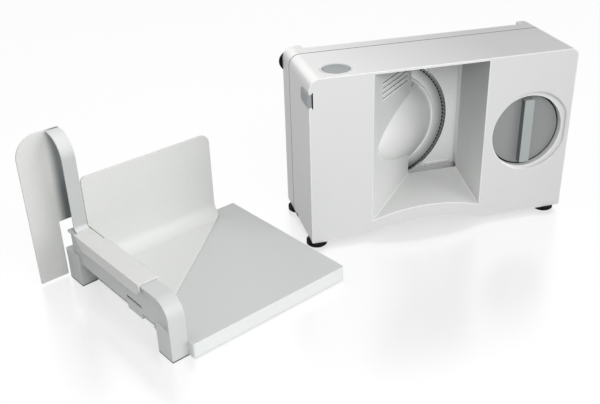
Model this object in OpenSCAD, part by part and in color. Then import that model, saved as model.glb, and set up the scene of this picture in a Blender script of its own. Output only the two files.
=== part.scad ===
// Folding food slicer: a motor housing with a serrated disc blade, shown beside its feed table,
// which carries a sliding food carriage. Millimetres, Z up, standing on a worktop at z = 0.

/* [Housing] */
// Length of the motor housing
housing_l = 340; // [332:1:360]
// Height of the housing shell, without its feet
housing_h = 215; // [212:1:226]
// Depth of the front shell, up to the parting line
shell_d = 92; // [92:0.5:96]
// Depth of the back cover's rim behind the parting line
rim_d = 20; // [16:1:26]
// How far the two side rails stand back behind the parting line
rail_back_d = 32; // [28:1:36]
// Width of the two side rails
side_rail_w = 24; // [20:1:24]
// Wall thickness of the shells
wall = 3; // [2.4:0.1:3.4]
// Rounding of the upper corner beside the switch
corner_left_r = 14; // [8:1:18]
// Rounding of the upper corner above the dial
corner_right_r = 10; // [6:1:14]
// Rounding of the lower corners
corner_low_r = 2; // [1:0.5:4]
// Rise of the arch under the housing
arch_rise = 10.5; // [6:0.5:13]
// Width of the arch under the housing
arch_w = 164; // [140:2:190]

/* [Delivery recess] */
// Distance from the left side to the recess
recess_x = 78.5; // [77:0.5:82]
// Width of the recess at the front face
recess_w = 144.5; // [142:0.5:148]
// Depth of the recess
recess_d = 75.5; // [74:0.5:75.5]
// Width of the recess at its back edge
recess_back_w = 68.5; // [66:0.5:72]
// Height of the chute's back edge above the shell's lower edge
chute_back_z = 38; // [36:1:42]
// Height of the chute lip at its two ends
lip_end_z = 19; // [17:0.5:22]
// Height of the chute lip in the middle
lip_mid_z = 30.5; // [28:0.5:33]
// Thickness of the wall above the recess
recess_top_wall = 3; // [2.5:0.5:4]

/* [Blade] */
// Diameter of the serrated blade
blade_dia = 170; // [166:1:172]
// Thickness of the blade
blade_t = 1.5; // [1.2:0.1:1.8]
// Distance from the left side to the blade's axis
blade_x = 126; // [125:0.5:127]
// Height of the blade's axis above the shell's lower edge
blade_z = 110; // [109:0.5:111]
// Number of teeth on the blade's rim
blade_teeth = 72; // [60:1:80]
// Depth of the blade's teeth
tooth_depth = 2; // [1:0.1:2.4]

/* [Thickness dial] */
// Diameter of the dial
dial_dia = 91; // [84:1:92]
// Gap between the dial and its well
dial_gap = 2; // [1.5:0.1:3]
// Distance from the left side to the dial's axis
dial_x = 281.5; // [279:0.5:284]
// Height of the dial's axis above the shell's lower edge
dial_z = 112.7; // [108:0.1:116]
// How far the dial's face lies behind the front face
dial_sink = 9; // [7:0.5:10]
// Width of the grip bar across the dial
grip_w = 13; // [10:0.5:16]
// Greatest slice thickness, which is the stop plate's travel
slice_max = 15; // [10:0.5:15]
// Turn of the dial over that travel, in degrees
dial_turn = 300; // [240:10:310]

/* [Switch and lock] */
// Diameter of the ring round the switch button
ring_dia = 39.5; // [37:0.5:41]
// Diameter of the switch button
button_dia = 32.4; // [30:0.2:33]
// Travel of the switch button
button_travel = 3.5; // [2.5:0.1:3.5]
// Length of the lock key along the housing's side
key_l = 31; // [27:0.5:33]
// Height of the lock key
key_h = 16; // [14:0.5:17]
// Travel of the lock key into the housing
key_travel = 1.5; // [1:0.1:1.5]

/* [Feet] */
// Diameter of the rubber feet
foot_dia = 26; // [22:0.5:28]
// Height of the rubber feet under the housing
foot_h = 6; // [5:0.5:8]
// Height of the two rubber feet on the housing's back
back_foot_h = 4; // [3:0.5:5]

/* [Feed table] */
// Length of the table plate along the carriage's travel
table_l = 214; // [210:1:230]
// Distance from the rail's inner side to the edge beside the blade
table_w = 211.5; // [200:0.5:225]
// Height of the table's surface
table_h = 18.8; // [17:0.2:21]
// Thickness of the table plate
table_t = 2.6; // [2.2:0.1:3.2]
// Height of the rail's upper face
rail_h = 71; // [68:0.5:76]
// Width of the rail
rail_w = 20; // [18:0.5:22]
// How far the rail's front end stands back from the table's front edge
rail_front_in = 10; // [6:0.5:16]
// Rounding of the rail's front end
rail_bend_r = 22; // [16:1:26]
// Length of the rail's front leg
front_leg_l = 26; // [22:1:30]
// Length of the rail's rear leg
rear_leg_l = 29; // [25:1:32]
// Height of the rail's rear leg
rear_leg_h = 41; // [38:0.5:44]
// Height of the opening under the rail
bridge_h = 30; // [28:0.5:34]

/* [Carriage] */
// Travel of the carriage along the rail
carriage_travel = 110; // [60:5:110]
// Length of the carriage along the rail
carriage_l = 148; // [140:1:156]
// Height of the fence above the worktop
fence_h = 134; // [120:1:145]
// Reach of the fence from the rail's inner side
fence_w = 175; // [165:1:182]
// Sheet thickness of the carriage
sheet_t = 2.2; // [1.8:0.1:2.6]
// Inner radius of the bend between fence and floor sheet
fence_bend_r = 18; // [12:1:24]
// Width of the band that forms the handle
band_w = 16; // [14:0.5:18]
// Height of the handle above the worktop
handle_h = 188; // [170:1:200]
// Outer radius of the bend over the handle
handle_bend_r = 28; // [22:1:30]
// Reach of the guard plate outwards from the rail
guard_reach = 35; // [28:1:42]

/* [Placing] */
// Turn of the feed table beside the housing, in degrees
table_yaw = -63.7; // [-68:0.1:-60]
// Sideways place of the feed table's corner from the housing's front left corner
table_x = -273.6; // [-300:0.1:-270]
// Depth place of the feed table's corner from the housing's front left corner
table_y = 15.9; // [5:0.1:30]

/* [Hidden] */
$fn = 96;

// One overrun for every cut, and the gaps between pieces
cut = 1;
run_gap = 0.05;
slip_gap = 0.3;
plain_gap = 0.6;
// How far the forms of one piece run into each other, and the radius of a crisp corner
bite = 0.1;
crisp_r = 0.5;

// The housing's blade group, front to back
cover_t = 2.5;
blade_y = shell_d + slip_gap;
gear_w = 7;
gear_gap = 2.5;
gear_y = blade_y - gear_gap - gear_w;
gear_module = 1.6;
blade_gear_teeth = 62;
layshaft_teeth = 16;
stage_module = 1;
stage_wheel_teeth = 48;
motor_teeth = 12;
blade_r = blade_dia / 2;
blade_gap = 0.8;
lay_distance = gear_module * (blade_gear_teeth + layshaft_teeth) / 2;
lay_angle = 216;
lay_x = blade_x + lay_distance * cos(lay_angle);
lay_z = blade_z + lay_distance * sin(lay_angle);
motor_distance = stage_module * (stage_wheel_teeth + motor_teeth) / 2;
motor_angle = 194;
motor_x = lay_x + motor_distance * cos(motor_angle);
motor_z = lay_z + motor_distance * sin(motor_angle);
motor_r = 24;
motor_l = 56;
plate_t = 2.5;
stage_w = 5;
stage_gap = 2;
rear_plate_y = gear_y - plain_gap - plate_t;
stage_y = rear_plate_y - stage_gap - stage_w;
frame_y = stage_y - stage_gap - plate_t;
motor_y = frame_y - motor_l;
lay_shaft_r = 4;
motor_shaft_r = 2.5;
spindle_r = 5;
bush_t = 2;
boss_wall = 3.5;
boss_end_y = gear_y - gear_gap;
backlash = 0.3;
tip_share = 0.92;
tooth_tip_share = 0.42;
root_share = 1.25;
tooth_root_share = 1.45;
motor_nose = 3;
frame_x0 = 10;
frame_x1 = 104;
frame_z0 = 40;
frame_z1 = 100;
post_r = 4.5;
spindle_y = 51;
bush_l = 16;
blade_seat_r = 20;
bevel_w = 7;
edge_share = 0.8;
tooth_rise_share = 0.3;
tooth_fall_share = 0.55;
lock_r = 18;
lock_h = 7;
lock_stem_r = 8;

// The rounded bulge over the blade gear
bulge_r = 62;
bulge_tip_x = recess_x + 5.5;
bulge_tip_y = 8;
bulge_over = 4.5;
bulge_end_y = gear_y + bulge_over;
bulge_wall = 2.4;
bulge_power_share = 0.62;
bulge_spread_share = 1.5;
bulge_steps = 11;
ring_gap = 1.2;
ring_wall_y = blade_y - ring_gap;

// Vent slots in the slanted wall
vent_count = 4;
vent_pitch = 6.6;
vent_h = 2.6;
vent_drop = 21.5;
vent_top_z = housing_h - vent_drop;
vent_start = 16;
vent_end = 68;
vent_short = 49.6;

// The dial and its cam
dial_r = dial_dia / 2;
well_r = dial_r + dial_gap;
disc_t = 10;
well_clear = 1;
well_d = dial_sink + disc_t + well_clear;
dial_shaft_r = 8;
dial_boss_l = 8;
drum_seat_r = 5.5;
drum_r = 14;
drum_gap = 2;
drum_y = well_d + wall + dial_boss_l + drum_gap;
groove_w = 5;
groove_d = 4;
groove_margin = 7;
groove_rest_y = drum_y + slice_max + groove_margin;
drum_l = slice_max + 2 * groove_margin;
pin_r = 2.1;
crescent_r = 51.5;
crescent_shift = 5;
crescent_d = 1.6;
grip_proud = 0.5;
grip_short = 7;

// The stop plate
stop_t = 2.5;
stop_y = shell_d + cover_t - stop_t + slip_gap;
stop_z = 36;
stop_top_gap = 10;
rod_r = 3;
rod_low_in = 94;
rod_low_z = 55;
rod_high_in = 36;
rod_high_drop = 37;
rod_places = [[housing_l - rod_low_in, rod_low_z], [housing_l - rod_high_in, housing_h - rod_high_drop]];
rod_seat_l = 10.5;
stop_reach = 42;
stop_side_gap = 2.5;
arm_w = 10;
arm_t = 5;
sleeve_r = 5.6;
sleeve_l = 46;
rod_clear = 5;
rod_end_y = stop_y - slice_max - rod_clear;

// Switch and lock places
ring_x = 40;
ring_y = 24.5;
ring_proud = 0.8;
ring_l = 9;
shelf_drop = 28;
shelf_z = housing_h - shelf_drop;
shelf_w = 36;
stem_r = 4;
plunger_h = 1.2;
switch_l = 28;
switch_w = 12;
switch_h = 16;
flange_t = 1.5;
flange_in = 1.55;
button_dish = 1.2;
spring_r = 6;
spring_wire = 1.1;
key_drop = 34;
key_z = housing_h - key_drop;
key_proud = 1.5;
key_flange = 2;
key_slot = key_travel + slip_gap;
key_round_r = 6;

// Feet places
foot_left_x = 8.5;
foot_right_in = 18;
foot_right_x = housing_l - foot_right_in;
foot_front_y = 10;
foot_back_in = 11.5;
foot_back_y = shell_d + foot_back_in;
back_foot_drop = 19;
back_foot_z = housing_h - back_foot_drop;
foot_chamfer = 1.5;

// Screws, the side rails' hollows and the notch for the mains lead
right_rail_w = 19.5;
screw_in = 9;
screw_high_z = 160;
screw_l = 12;
screw_r = 2;
screw_seat = 4;
screw_head_h = 2.6;
notch_y = 74.5;
notch_l = 9;
notch_h = 4;
gland_wall = 1;

// Table values: A runs along the rail, B away from it, both from the table's corner
plate_b = 6;
rail_b = plate_b - rail_w;
rail_a = -16;
rail_front_a = table_l - rail_front_in;
beam_a = -2;
web_inset = 3;
pad_t = 1.2;
rib_pitch = 42;
leg_panel_h = 36;
catch_in = 61;
catch_a = rail_front_a - front_leg_l - catch_in;
catch_l = 29;
catch_h = 7;
catch_t = 6;
catch_travel = 2.5;
table_corner_r = 2;
pad_in = 10;
pad_r = 8;

// Carriage values
carriage_a = 8;
slide_gap = 0.3;
flange_z = rail_h + slide_gap;
lip_h = 15;
lip_b = rail_b - slide_gap - sheet_t;
wall_b = plate_b + slide_gap;
floor_z = table_h + slide_gap;
band_in = 2;
band_a = carriage_a + band_in;
band_side_in = 2.5;
band_b = rail_b + band_side_in;
band_low_r = 6;
guard_out = 30.5;
guard_a = carriage_a - guard_out;
guard_round_r = 26;
guard_low_z = 3;
fence_top_r = 12;
fence_low_r = 6;
slit_l = 30;
slit_w = 1.2;
tip_b = 1;
strip_a = band_a + sheet_t + band_low_r;
lip_end_r = 6;
diagonal_a = carriage_l + carriage_a;

// The table's corners, seen from the housing's front left corner
function placed(a, b) = [table_x + a * cos(table_yaw) - b * sin(table_yaw),
                         table_y + a * sin(table_yaw) + b * cos(table_yaw)];
table_reach = [placed(guard_a, rail_b - guard_reach), placed(guard_a + sheet_t, rail_b - guard_reach),
               placed(rail_front_a, rail_b), placed(table_l, plate_b), placed(table_l, plate_b + table_w)];
min_x = min(concat([0], [for (p = table_reach) p.x]));
max_x = max(concat([housing_l], [for (p = table_reach) p.x]));
min_y = min(concat([foot_front_y - foot_dia / 2], [for (p = table_reach) p.y]));
max_y = max(concat([shell_d + rail_back_d + back_foot_h], [for (p = table_reach) p.y]));
origin_x = (min_x + max_x) / 2;
origin_y = (min_y + max_y) / 2;

// Colours as in the photograph
front_grey = "#d9dad9";
cover_grey = "#b9bcba";
switch_grey = "#a6abab";
table_grey = "#c8cac9";
carriage_grey = "#dcdcda";
dial_grey = "#9c9fa1";
rubber_black = "#17181a";
steel_grey = "#b6b9bb";
brass = "#b08d4f";
gear_white = "#e4e0d2";
dark_plastic = "#34373a";

// Placing
module at_housing() {
    translate([-origin_x, -origin_y, foot_h]) children();
}

module at_table() {
    translate([table_x - origin_x, table_y - origin_y, 0]) rotate([0, 0, table_yaw]) children();
}

// A flat outline in X and Z, pushed back along Y from y0 by a depth
module back_from(y0, depth) {
    translate([0, y0 + depth, 0]) rotate([90, 0, 0]) linear_extrude(depth) children();
}

// A cylinder along Y
module rod_y(x, z, y0, length, r, sides = 96) {
    translate([x, y0, z]) rotate([-90, 0, 0]) cylinder(h = length, r = r, $fn = sides);
}

// A flat outline in A and Z, pushed along B from b0 by a width
module across(b0, width) {
    translate([0, b0 + width, 0]) rotate([90, 0, 0]) linear_extrude(width) children();
}

// A rectangle with four different corner radii, in the order low left, low right, top right, top left
module rounded_plate(w, h, radii) {
    centres = [[radii[0], radii[0]], [w - radii[1], radii[1]], [w - radii[2], h - radii[2]],
               [radii[3], h - radii[3]]];
    polygon([[radii[0], 0], [w - radii[1], 0], [w, radii[1]], [w, h - radii[2]],
             [w - radii[2], h], [radii[3], h], [0, h - radii[3]], [0, radii[0]]]);
    for (i = [0:3]) translate(centres[i]) circle(r = radii[i], $fn = 48);
}

// The housing's outline, drawn in by an inset
module housing_outline(inset = 0) {
    radii = [for (r = [corner_low_r, corner_low_r, corner_right_r, corner_left_r]) max(r - inset, crisp_r)];
    translate([inset, inset]) rounded_plate(housing_l - 2 * inset, housing_h - 2 * inset, radii);
}

// The cylinder that cuts the arch under the housing, deepened by a wall for the inside
arch_r = pow(arch_w / 2, 2) / (2 * arch_rise) + arch_rise / 2;
module arch_cut(y0, depth, extra = 0) {
    rod_y(recess_x + recess_w / 2, arch_rise - arch_r, y0, depth, arch_r + extra, 240);
}

// Height of the chute's front lip at a share of its width
lip_chord = recess_w / 2;
lip_rise = lip_mid_z - lip_end_z;
lip_r = pow(lip_chord, 2) / (2 * lip_rise) + lip_rise / 2;
function lip_z(share) = lip_mid_z - lip_r + sqrt(pow(lip_r, 2) - pow((2 * share - 1) * lip_chord, 2));

// The chute's surface: straight lines from the arched lip to the straight back edge
chute_steps = 16;
slant_run = recess_w - recess_back_w;
slope = slant_run / recess_d;
function left_x(y) = recess_x + slope * y;
function left_y(x) = (x - recess_x) / slope;
function chute_z(share, y) = lip_z(share) + (chute_back_z - lip_z(share)) * y / recess_d;

// A block between two depths, with the lowered chute surface on one side and a level face on the other
module chute_block(y0, y1, left_in, right_in, drop, level_z) {
    function column(share, y) = [left_x(y) + left_in
        + (recess_x + recess_w - right_in - left_x(y) - left_in) * share, y, chute_z(share, y) - drop];
    function level(p) = [p.x, p.y, level_z];
    below = level_z < chute_back_z;
    rows = [for (i = [0:chute_steps]) let (near = column(i / chute_steps, y0), far = column(i / chute_steps, y1))
        below ? [level(near), level(far), far, near] : [near, far, level(far), level(near)]];
    sides = [for (i = [0:chute_steps - 1]) for (k = [0:3]) let (a = 4 * i + k, b = 4 * i + (k + 1) % 4)
        each [[a, a + 4, b + 4], [a, b + 4, b]]];
    last = 4 * chute_steps;
    polyhedron(points = [for (row = rows) each row], faces = concat([[0, 1, 2], [0, 2, 3]], sides,
        [[last + 2, last + 1, last], [last + 3, last + 2, last]]));
}

// The open space of the recess: the chute below, a slanted wall at the left, open in front and behind
module recess_space() {
    chute_block(-cut, recess_d + cut, 0, 0, 0, housing_h - recess_top_wall);
}

// The walls round the recess, before its space is cut out
module recess_walls() {
    side = wall * sqrt(2);
    intersection() {
        back_from(0, recess_d) housing_outline();
        linear_extrude(housing_h) polygon([
            [recess_x - side, 0], [recess_x + recess_w + wall, 0],
            [recess_x + recess_w + wall, recess_d], [left_x(recess_d) - side, recess_d]]);
    }
}

// The hollow under the chute, which leaves the chute and the lip as walls
module chute_hollow() {
    chute_block(wall, recess_d - wall, 0, 0, wall, -cut);
}

// The bulge over the blade gear: circles that grow and move back from its tip
bulge_sides = 40;
function bulge_ring(t, inset) = let (r = bulge_r * pow(t, bulge_power_share) - inset)
    [for (i = [0:bulge_sides - 1]) [bulge_tip_x + (blade_x - bulge_tip_x) * t + r * cos(360 * i / bulge_sides),
        bulge_tip_y + (bulge_end_y - bulge_tip_y) * t, blade_z + r * sin(360 * i / bulge_sides)]];

module bulge_solid(inset = 0) {
    first = pow((inset + wall / 2) / bulge_r, 1 / bulge_power_share);
    shares = [for (i = [0:bulge_steps]) first + (1 - first) * pow(i / bulge_steps, bulge_spread_share)];
    rings = concat([for (t = shares) bulge_ring(t, inset)],
        [[for (p = bulge_ring(1, inset)) [p.x, shell_d + cut, p.z]]]);
    last = (bulge_steps + 1) * bulge_sides;
    sides = [for (k = [0:bulge_steps]) for (i = [0:bulge_sides - 1])
        let (a = k * bulge_sides + i, b = k * bulge_sides + (i + 1) % bulge_sides)
        each [[a, b, b + bulge_sides], [a, b + bulge_sides, a + bulge_sides]]];
    polyhedron(points = [for (ring = rings) each ring],
        faces = concat([[for (i = [bulge_sides - 1:-1:0]) i]], sides,
            [[for (i = [0:bulge_sides - 1]) last + i]]));
}

// The space on the recess's side of the slanted wall, carried on to the blade
module recess_side() {
    linear_extrude(housing_h) polygon([
        [left_x(0) - wall, 0], [left_x(ring_wall_y) - wall, ring_wall_y],
        [housing_l, ring_wall_y], [housing_l, 0]]);
}

// The bulge's skin and the ring wall behind it
module bulge_skin() {
    intersection() {
        bulge_solid();
        recess_side();
    }
}

module bulge_hollow() {
    translate([0, bulge_wall / 2, 0]) bulge_solid(bulge_wall);
}

// Level slots along the slanted wall; the top one is shorter
module vent_slots() {
    angle = atan(1 / slope);
    for (i = [0:vent_count - 1])
        translate([recess_x, 0, vent_top_z - i * vent_pitch]) rotate([0, 0, angle])
            translate([vent_start / sin(angle), -wall, -vent_h / 2])
                cube([((i == 0 ? vent_short : vent_end) - vent_start) / sin(angle), 3 * wall, vent_h]);
}

// Posts inside the shell that take the back cover's screws
screw_places = [for (x = [screw_in, housing_l - screw_in], z = [screw_in, screw_high_z]) [x, z]];
module screw_posts() {
    for (p = screw_places) difference() {
        rod_y(p.x, p.y, wall - bite, shell_d - wall, post_r, 48);
        rod_y(p.x, p.y, shell_d - screw_l, screw_l + cut, screw_r, 24);
    }
}

// The shelf that carries the switch button's spring and the power switch
module switch_shelf() {
    difference() {
        translate([ring_x - shelf_w / 2, wall - bite, shelf_z - wall])
            cube([shelf_w, ring_y + shelf_w / 2 - wall, wall]);
        translate([ring_x, ring_y, shelf_z - wall - cut]) cylinder(h = wall + 2 * cut, r = stem_r + plain_gap);
    }
}

// The lock key's face, pushed inwards along X
module key_face(depth, grow = 0) {
    translate([-key_proud, -grow, key_z - grow]) rotate([90, 0, 90]) linear_extrude(depth)
        rounded_plate(key_l + 2 * grow, key_h + 2 * grow, [grow + slip_gap, key_round_r, key_round_r / 2, grow + slip_gap]);
}

// The key's opening in the side wall, and the slot beside it in the front face
module key_opening() {
    key_face(key_proud + wall + cut, slip_gap);
    translate([-cut, -cut, key_z - slip_gap])
        cube([cut + wall + key_slot, wall + 2 * cut, key_h + 2 * slip_gap]);
}

module front_shell() {
    boss_r = spindle_r + bush_t + boss_wall;
    color(front_grey) at_housing() difference() {
        union() {
            difference() {
                union() {
                    difference() {
                        back_from(0, shell_d) housing_outline();
                        back_from(wall, shell_d) difference() {
                            housing_outline(wall);
                            translate([recess_x + recess_w / 2, arch_rise - arch_r])
                                circle(r = arch_r + wall, $fn = 240);
                        }
                    }
                    recess_walls();
                    rod_y(dial_x, dial_z, 0, well_d + wall, well_r + wall, 120);
                }
                recess_space();
                chute_hollow();
            }
            bulge_skin();
            screw_posts();
            switch_shelf();
            rod_y(dial_x, dial_z, well_d, wall + dial_boss_l, dial_shaft_r + boss_wall, 64);
            for (p = rod_places) rod_y(p.x, p.y, wall / 2, rod_seat_l, rod_r + wall, 48);
        }
        difference() {
            bulge_hollow();
            rod_y(blade_x, blade_z, 0, boss_end_y, boss_r, 64);
        }
        rod_y(blade_x, blade_z, spindle_y, shell_d, spindle_r + bush_t, 64);
        rod_y(dial_x, dial_z, -cut, well_d + cut, well_r, 120);
        rod_y(dial_x, dial_z, 0, shell_d, dial_shaft_r + run_gap, 64);
        intersection() {
            rod_y(dial_x + crescent_shift, dial_z, -cut, crescent_d + cut, crescent_r, 120);
            translate([0, -cut, 0]) cube([housing_l - 2 * wall, housing_h, housing_h]);
        }
        for (p = rod_places) rod_y(p.x, p.y, wall, shell_d, rod_r, 32);
        arch_cut(-cut, shell_d + 2 * cut);
        vent_slots();
        translate([ring_x, ring_y, housing_h - 2 * wall]) cylinder(h = 3 * wall, r = ring_dia / 2);
        key_opening();
        translate([-cut, notch_y - notch_l / 2, -cut]) cube([2 * wall + cut, notch_l, notch_h + cut]);
    }
    // The spindle's boss, from the bulge's skin to the blade gear
    color(front_grey) at_housing() difference() {
        intersection() {
            rod_y(blade_x, blade_z, 0, boss_end_y, boss_r, 64);
            bulge_solid();
        }
        rod_y(blade_x, blade_z, spindle_y, shell_d, spindle_r + bush_t, 64);
    }
}

// The cover behind the parting line: a flat face beside the blade, a rim above and two side rails
module back_cover() {
    low = 2 * screw_in;
    color(cover_grey) at_housing() difference() {
        union() {
            back_from(shell_d, cover_t) housing_outline();
            back_from(shell_d, rail_back_d) intersection() {
                housing_outline();
                union() {
                    square([side_rail_w, housing_h]);
                    translate([housing_l - right_rail_w, 0]) square([right_rail_w, housing_h]);
                }
            }
            back_from(shell_d, rim_d) intersection() {
                housing_outline();
                translate([0, housing_h - wall]) square([housing_l, wall]);
            }
        }
        for (span = [[low, screw_high_z - screw_in], [screw_high_z + screw_in, housing_h - corner_left_r]],
             side = [[wall, side_rail_w - 2 * wall], [housing_l - right_rail_w + wall, right_rail_w - 2 * wall]])
            translate([side[0], shell_d - cut, span[0]])
                cube([side[1], rail_back_d + cut - wall, span[1] - span[0]]);
        rod_y(blade_x, blade_z, shell_d - cut, cover_t + 2 * cut, blade_r + blade_gap, 160);
        back_from(shell_d - cut, cover_t + 2 * cut) stop_outline(slip_gap);
        for (p = screw_places) {
            rod_y(p.x, p.y, shell_d - cut, rail_back_d + 2 * cut, screw_r, 24);
            rod_y(p.x, p.y, shell_d + screw_seat, rail_back_d, 2 * screw_r + slip_gap, 32);
        }
        arch_cut(shell_d - cut, cover_t + 2 * cut);
    }
}

// One rubber foot with a bevelled lower edge, standing down from z = 0
module foot(height) {
    rotate_extrude($fn = 48) polygon([[0, 0], [foot_dia / 2, 0], [foot_dia / 2, foot_chamfer - height],
        [foot_dia / 2 - foot_chamfer, -height], [0, -height]]);
}

module bottom_feet() {
    color(rubber_black) at_housing()
        for (x = [foot_left_x, foot_right_x], y = [foot_front_y, foot_back_y])
            translate([x, y, 0]) foot(foot_h);
}

module back_feet() {
    color(rubber_black) at_housing() for (x = [foot_left_x, housing_l - foot_left_x])
        translate([x, shell_d + rail_back_d, back_foot_z]) rotate([90, 0, 0]) foot(back_foot_h);
}

module switch_ring() {
    color(switch_grey) at_housing() translate([ring_x, ring_y, housing_h]) rotate_extrude() polygon([
        [button_dia / 2 + slip_gap, -ring_l], [ring_dia / 2, -ring_l], [ring_dia / 2, 0],
        [ring_dia / 2 - ring_proud, ring_proud], [button_dia / 2 + slip_gap + ring_proud / 2, ring_proud],
        [button_dia / 2 + slip_gap, 0]]);
}

module switch_button() {
    flange_top = housing_h - ring_l - slip_gap;
    color(switch_grey) at_housing() translate([ring_x, ring_y, 0]) rotate_extrude() polygon([
        [0, shelf_z - wall + plunger_h + button_travel], [stem_r, shelf_z - wall + plunger_h + button_travel],
        [stem_r, flange_top - flange_t], [ring_dia / 2 - flange_in, flange_top - flange_t],
        [ring_dia / 2 - flange_in, flange_top], [button_dia / 2, flange_top],
        [button_dia / 2, housing_h + ring_proud - button_dish], [button_dia / 2 - ring_proud, housing_h + ring_proud],
        [button_dia / 4, housing_h + ring_proud - button_dish], [0, housing_h + ring_proud - button_dish]]);
}

// One unbroken wire wound round the Z axis
function coil_point(r, wire, turns, height, step, steps, side, sides) =
    let (share = step / steps, angle = 360 * turns * share, round = 360 * side / sides,
         reach = r + wire / 2 * cos(round))
    [reach * cos(angle), reach * sin(angle), wire / 2 + (height - wire) * share + wire / 2 * sin(round)];

module coil(r, wire, turns, height) {
    sides = 6;
    steps = 10 * turns;
    gap = (height - wire) / turns - wire;
    echo(least_gap_between_turns = gap);
    polyhedron(
        points = [for (i = [0:steps], k = [0:sides - 1]) coil_point(r, wire, turns, height, i, steps, k, sides)],
        faces = concat([[for (k = [sides - 1:-1:0]) k]],
            [for (i = [0:steps - 1], k = [0:sides - 1])
                let (a = i * sides + k, b = i * sides + (k + 1) % sides)
                each [[a, b + sides, a + sides], [a, b, b + sides]]],
            [[for (k = [0:sides - 1]) steps * sides + k]]));
}

module button_spring() {
    top_z = housing_h - ring_l - slip_gap - flange_t;
    color(steel_grey) at_housing() translate([ring_x, ring_y, shelf_z])
        coil(spring_r, spring_wire, 5, top_z - shelf_z);
}

// The micro switch under the shelf, with its plunger standing up through the shelf's hole
module power_switch() {
    color(dark_plastic) at_housing() {
        translate([ring_x - switch_l / 2, ring_y - switch_w / 2, shelf_z - wall - switch_h])
            cube([switch_l, switch_w, switch_h]);
        translate([ring_x, ring_y, shelf_z - wall]) cylinder(h = plunger_h, r = stem_r / 2);
    }
}

module lock_key() {
    color(switch_grey) at_housing() {
        key_face(key_proud + wall);
        translate([wall - cut / 2, wall + slip_gap, key_z + key_flange])
            cube([cut, key_l - wall - 2 * key_flange, key_h - 2 * key_flange]);
        translate([wall + slip_gap, wall + slip_gap, key_z - key_flange])
            cube([key_flange, key_l - wall + key_flange, key_h + 2 * key_flange]);
    }
}

// A gear's outline: root, pitch circle and tip of every tooth
function polar(r, angle) = [r * cos(angle), r * sin(angle)];
function gear_outline(teeth, size, start) = let (pitch_r = size * teeth / 2, half = 90 / teeth,
        slack = backlash / pitch_r * 180 / PI, root = pitch_r - root_share * size, tip = pitch_r + tip_share * size)
    [for (i = [0:teeth - 1]) let (a = start + 360 * i / teeth) each [
        polar(root, a - tooth_root_share * half), polar(pitch_r, a - half + slack), polar(tip, a - tooth_tip_share * half),
        polar(tip, a + tooth_tip_share * half), polar(pitch_r, a + half - slack), polar(root, a + tooth_root_share * half)]];

module gear(x, z, y, width, teeth, size, start, bore_r) {
    difference() {
        translate([x, 0, z]) back_from(y, width) polygon(gear_outline(teeth, size, start));
        rod_y(x, z, y - cut, width + 2 * cut, bore_r, 64);
    }
}

module motor_can() {
    color(steel_grey) at_housing() difference() {
        union() {
            rod_y(motor_x, motor_z, motor_y, motor_l, motor_r);
            rod_y(motor_x, motor_z, frame_y - bite, plate_t + bite, motor_r / motor_nose - slip_gap, 48);
        }
        rod_y(motor_x, motor_z, motor_y + wall, motor_l + motor_nose, motor_shaft_r + run_gap, 48);
    }
}

// The plate that carries the motor and the layshaft, on three legs from the front face
leg_places = [[frame_x0 + post_r, frame_z0 + post_r], [frame_x0 + post_r, frame_z1 - post_r],
              [recess_x - 3 * wall, frame_z1 - post_r]];
spacer_places = [[frame_x0 + post_r, frame_z0 + post_r], [frame_x0 + post_r, frame_z1 - post_r],
                 [frame_x1 - post_r, frame_z0 + post_r]];
module gear_frame() {
    color(cover_grey) at_housing() difference() {
        union() {
            translate([frame_x0, 0, frame_z0]) back_from(frame_y, plate_t)
                rounded_plate(frame_x1 - frame_x0, frame_z1 - frame_z0, [post_r, post_r, post_r, post_r]);
            for (p = leg_places) rod_y(p.x, p.y, wall, frame_y - wall + bite, post_r, 48);
            for (p = spacer_places) rod_y(p.x, p.y, frame_y, rear_plate_y - frame_y, post_r, 48);
        }
        rod_y(motor_x, motor_z, frame_y - cut, plate_t + 2 * cut, motor_r / motor_nose, 48);
        rod_y(lay_x, lay_z, frame_y - cut, plate_t + 2 * cut, lay_shaft_r + bush_t, 48);
    }
}

// The second plate, which holds the layshaft on the other side of its wheel
module gear_cover_plate() {
    color(cover_grey) at_housing() difference() {
        translate([frame_x0, 0, frame_z0]) back_from(rear_plate_y, plate_t)
            rounded_plate(frame_x1 - frame_x0, frame_z1 - frame_z0, [post_r, post_r, post_r, post_r]);
        rod_y(lay_x, lay_z, rear_plate_y - cut, plate_t + 2 * cut, lay_shaft_r + bush_t, 48);
    }
}

module bush(x, z, y, length, shaft_r) {
    difference() {
        rod_y(x, z, y, length, shaft_r + bush_t, 64);
        rod_y(x, z, y - cut, length + 2 * cut, shaft_r + run_gap, 64);
    }
}

module shaft_bushes() {
    color(brass) at_housing() for (y = [frame_y, rear_plate_y]) bush(lay_x, lay_z, y, plate_t, lay_shaft_r);
}

module spindle_bushes() {
    color(brass) at_housing() {
        bush(blade_x, blade_z, boss_end_y - bush_l, bush_l, spindle_r);
        bush(blade_x, blade_z, spindle_y, bush_l / 2, spindle_r);
    }
}

module motor_shaft() {
    start = motor_y + wall + slip_gap;
    color(steel_grey) at_housing()
        rod_y(motor_x, motor_z, start, stage_y + stage_w - start, motor_shaft_r, 48);
}

module motor_pinion() {
    color(brass) at_housing()
        gear(motor_x, motor_z, stage_y, stage_w, motor_teeth, stage_module,
            motor_angle + 180 + 180 / motor_teeth, motor_shaft_r);
}

module layshaft() {
    color(steel_grey) at_housing()
        rod_y(lay_x, lay_z, frame_y - 2 * plate_t, blade_y - cut - frame_y + 2 * plate_t, lay_shaft_r, 48);
}

module layshaft_wheel() {
    color(gear_white) at_housing()
        gear(lay_x, lay_z, stage_y, stage_w, stage_wheel_teeth, stage_module, motor_angle, lay_shaft_r);
}

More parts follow.
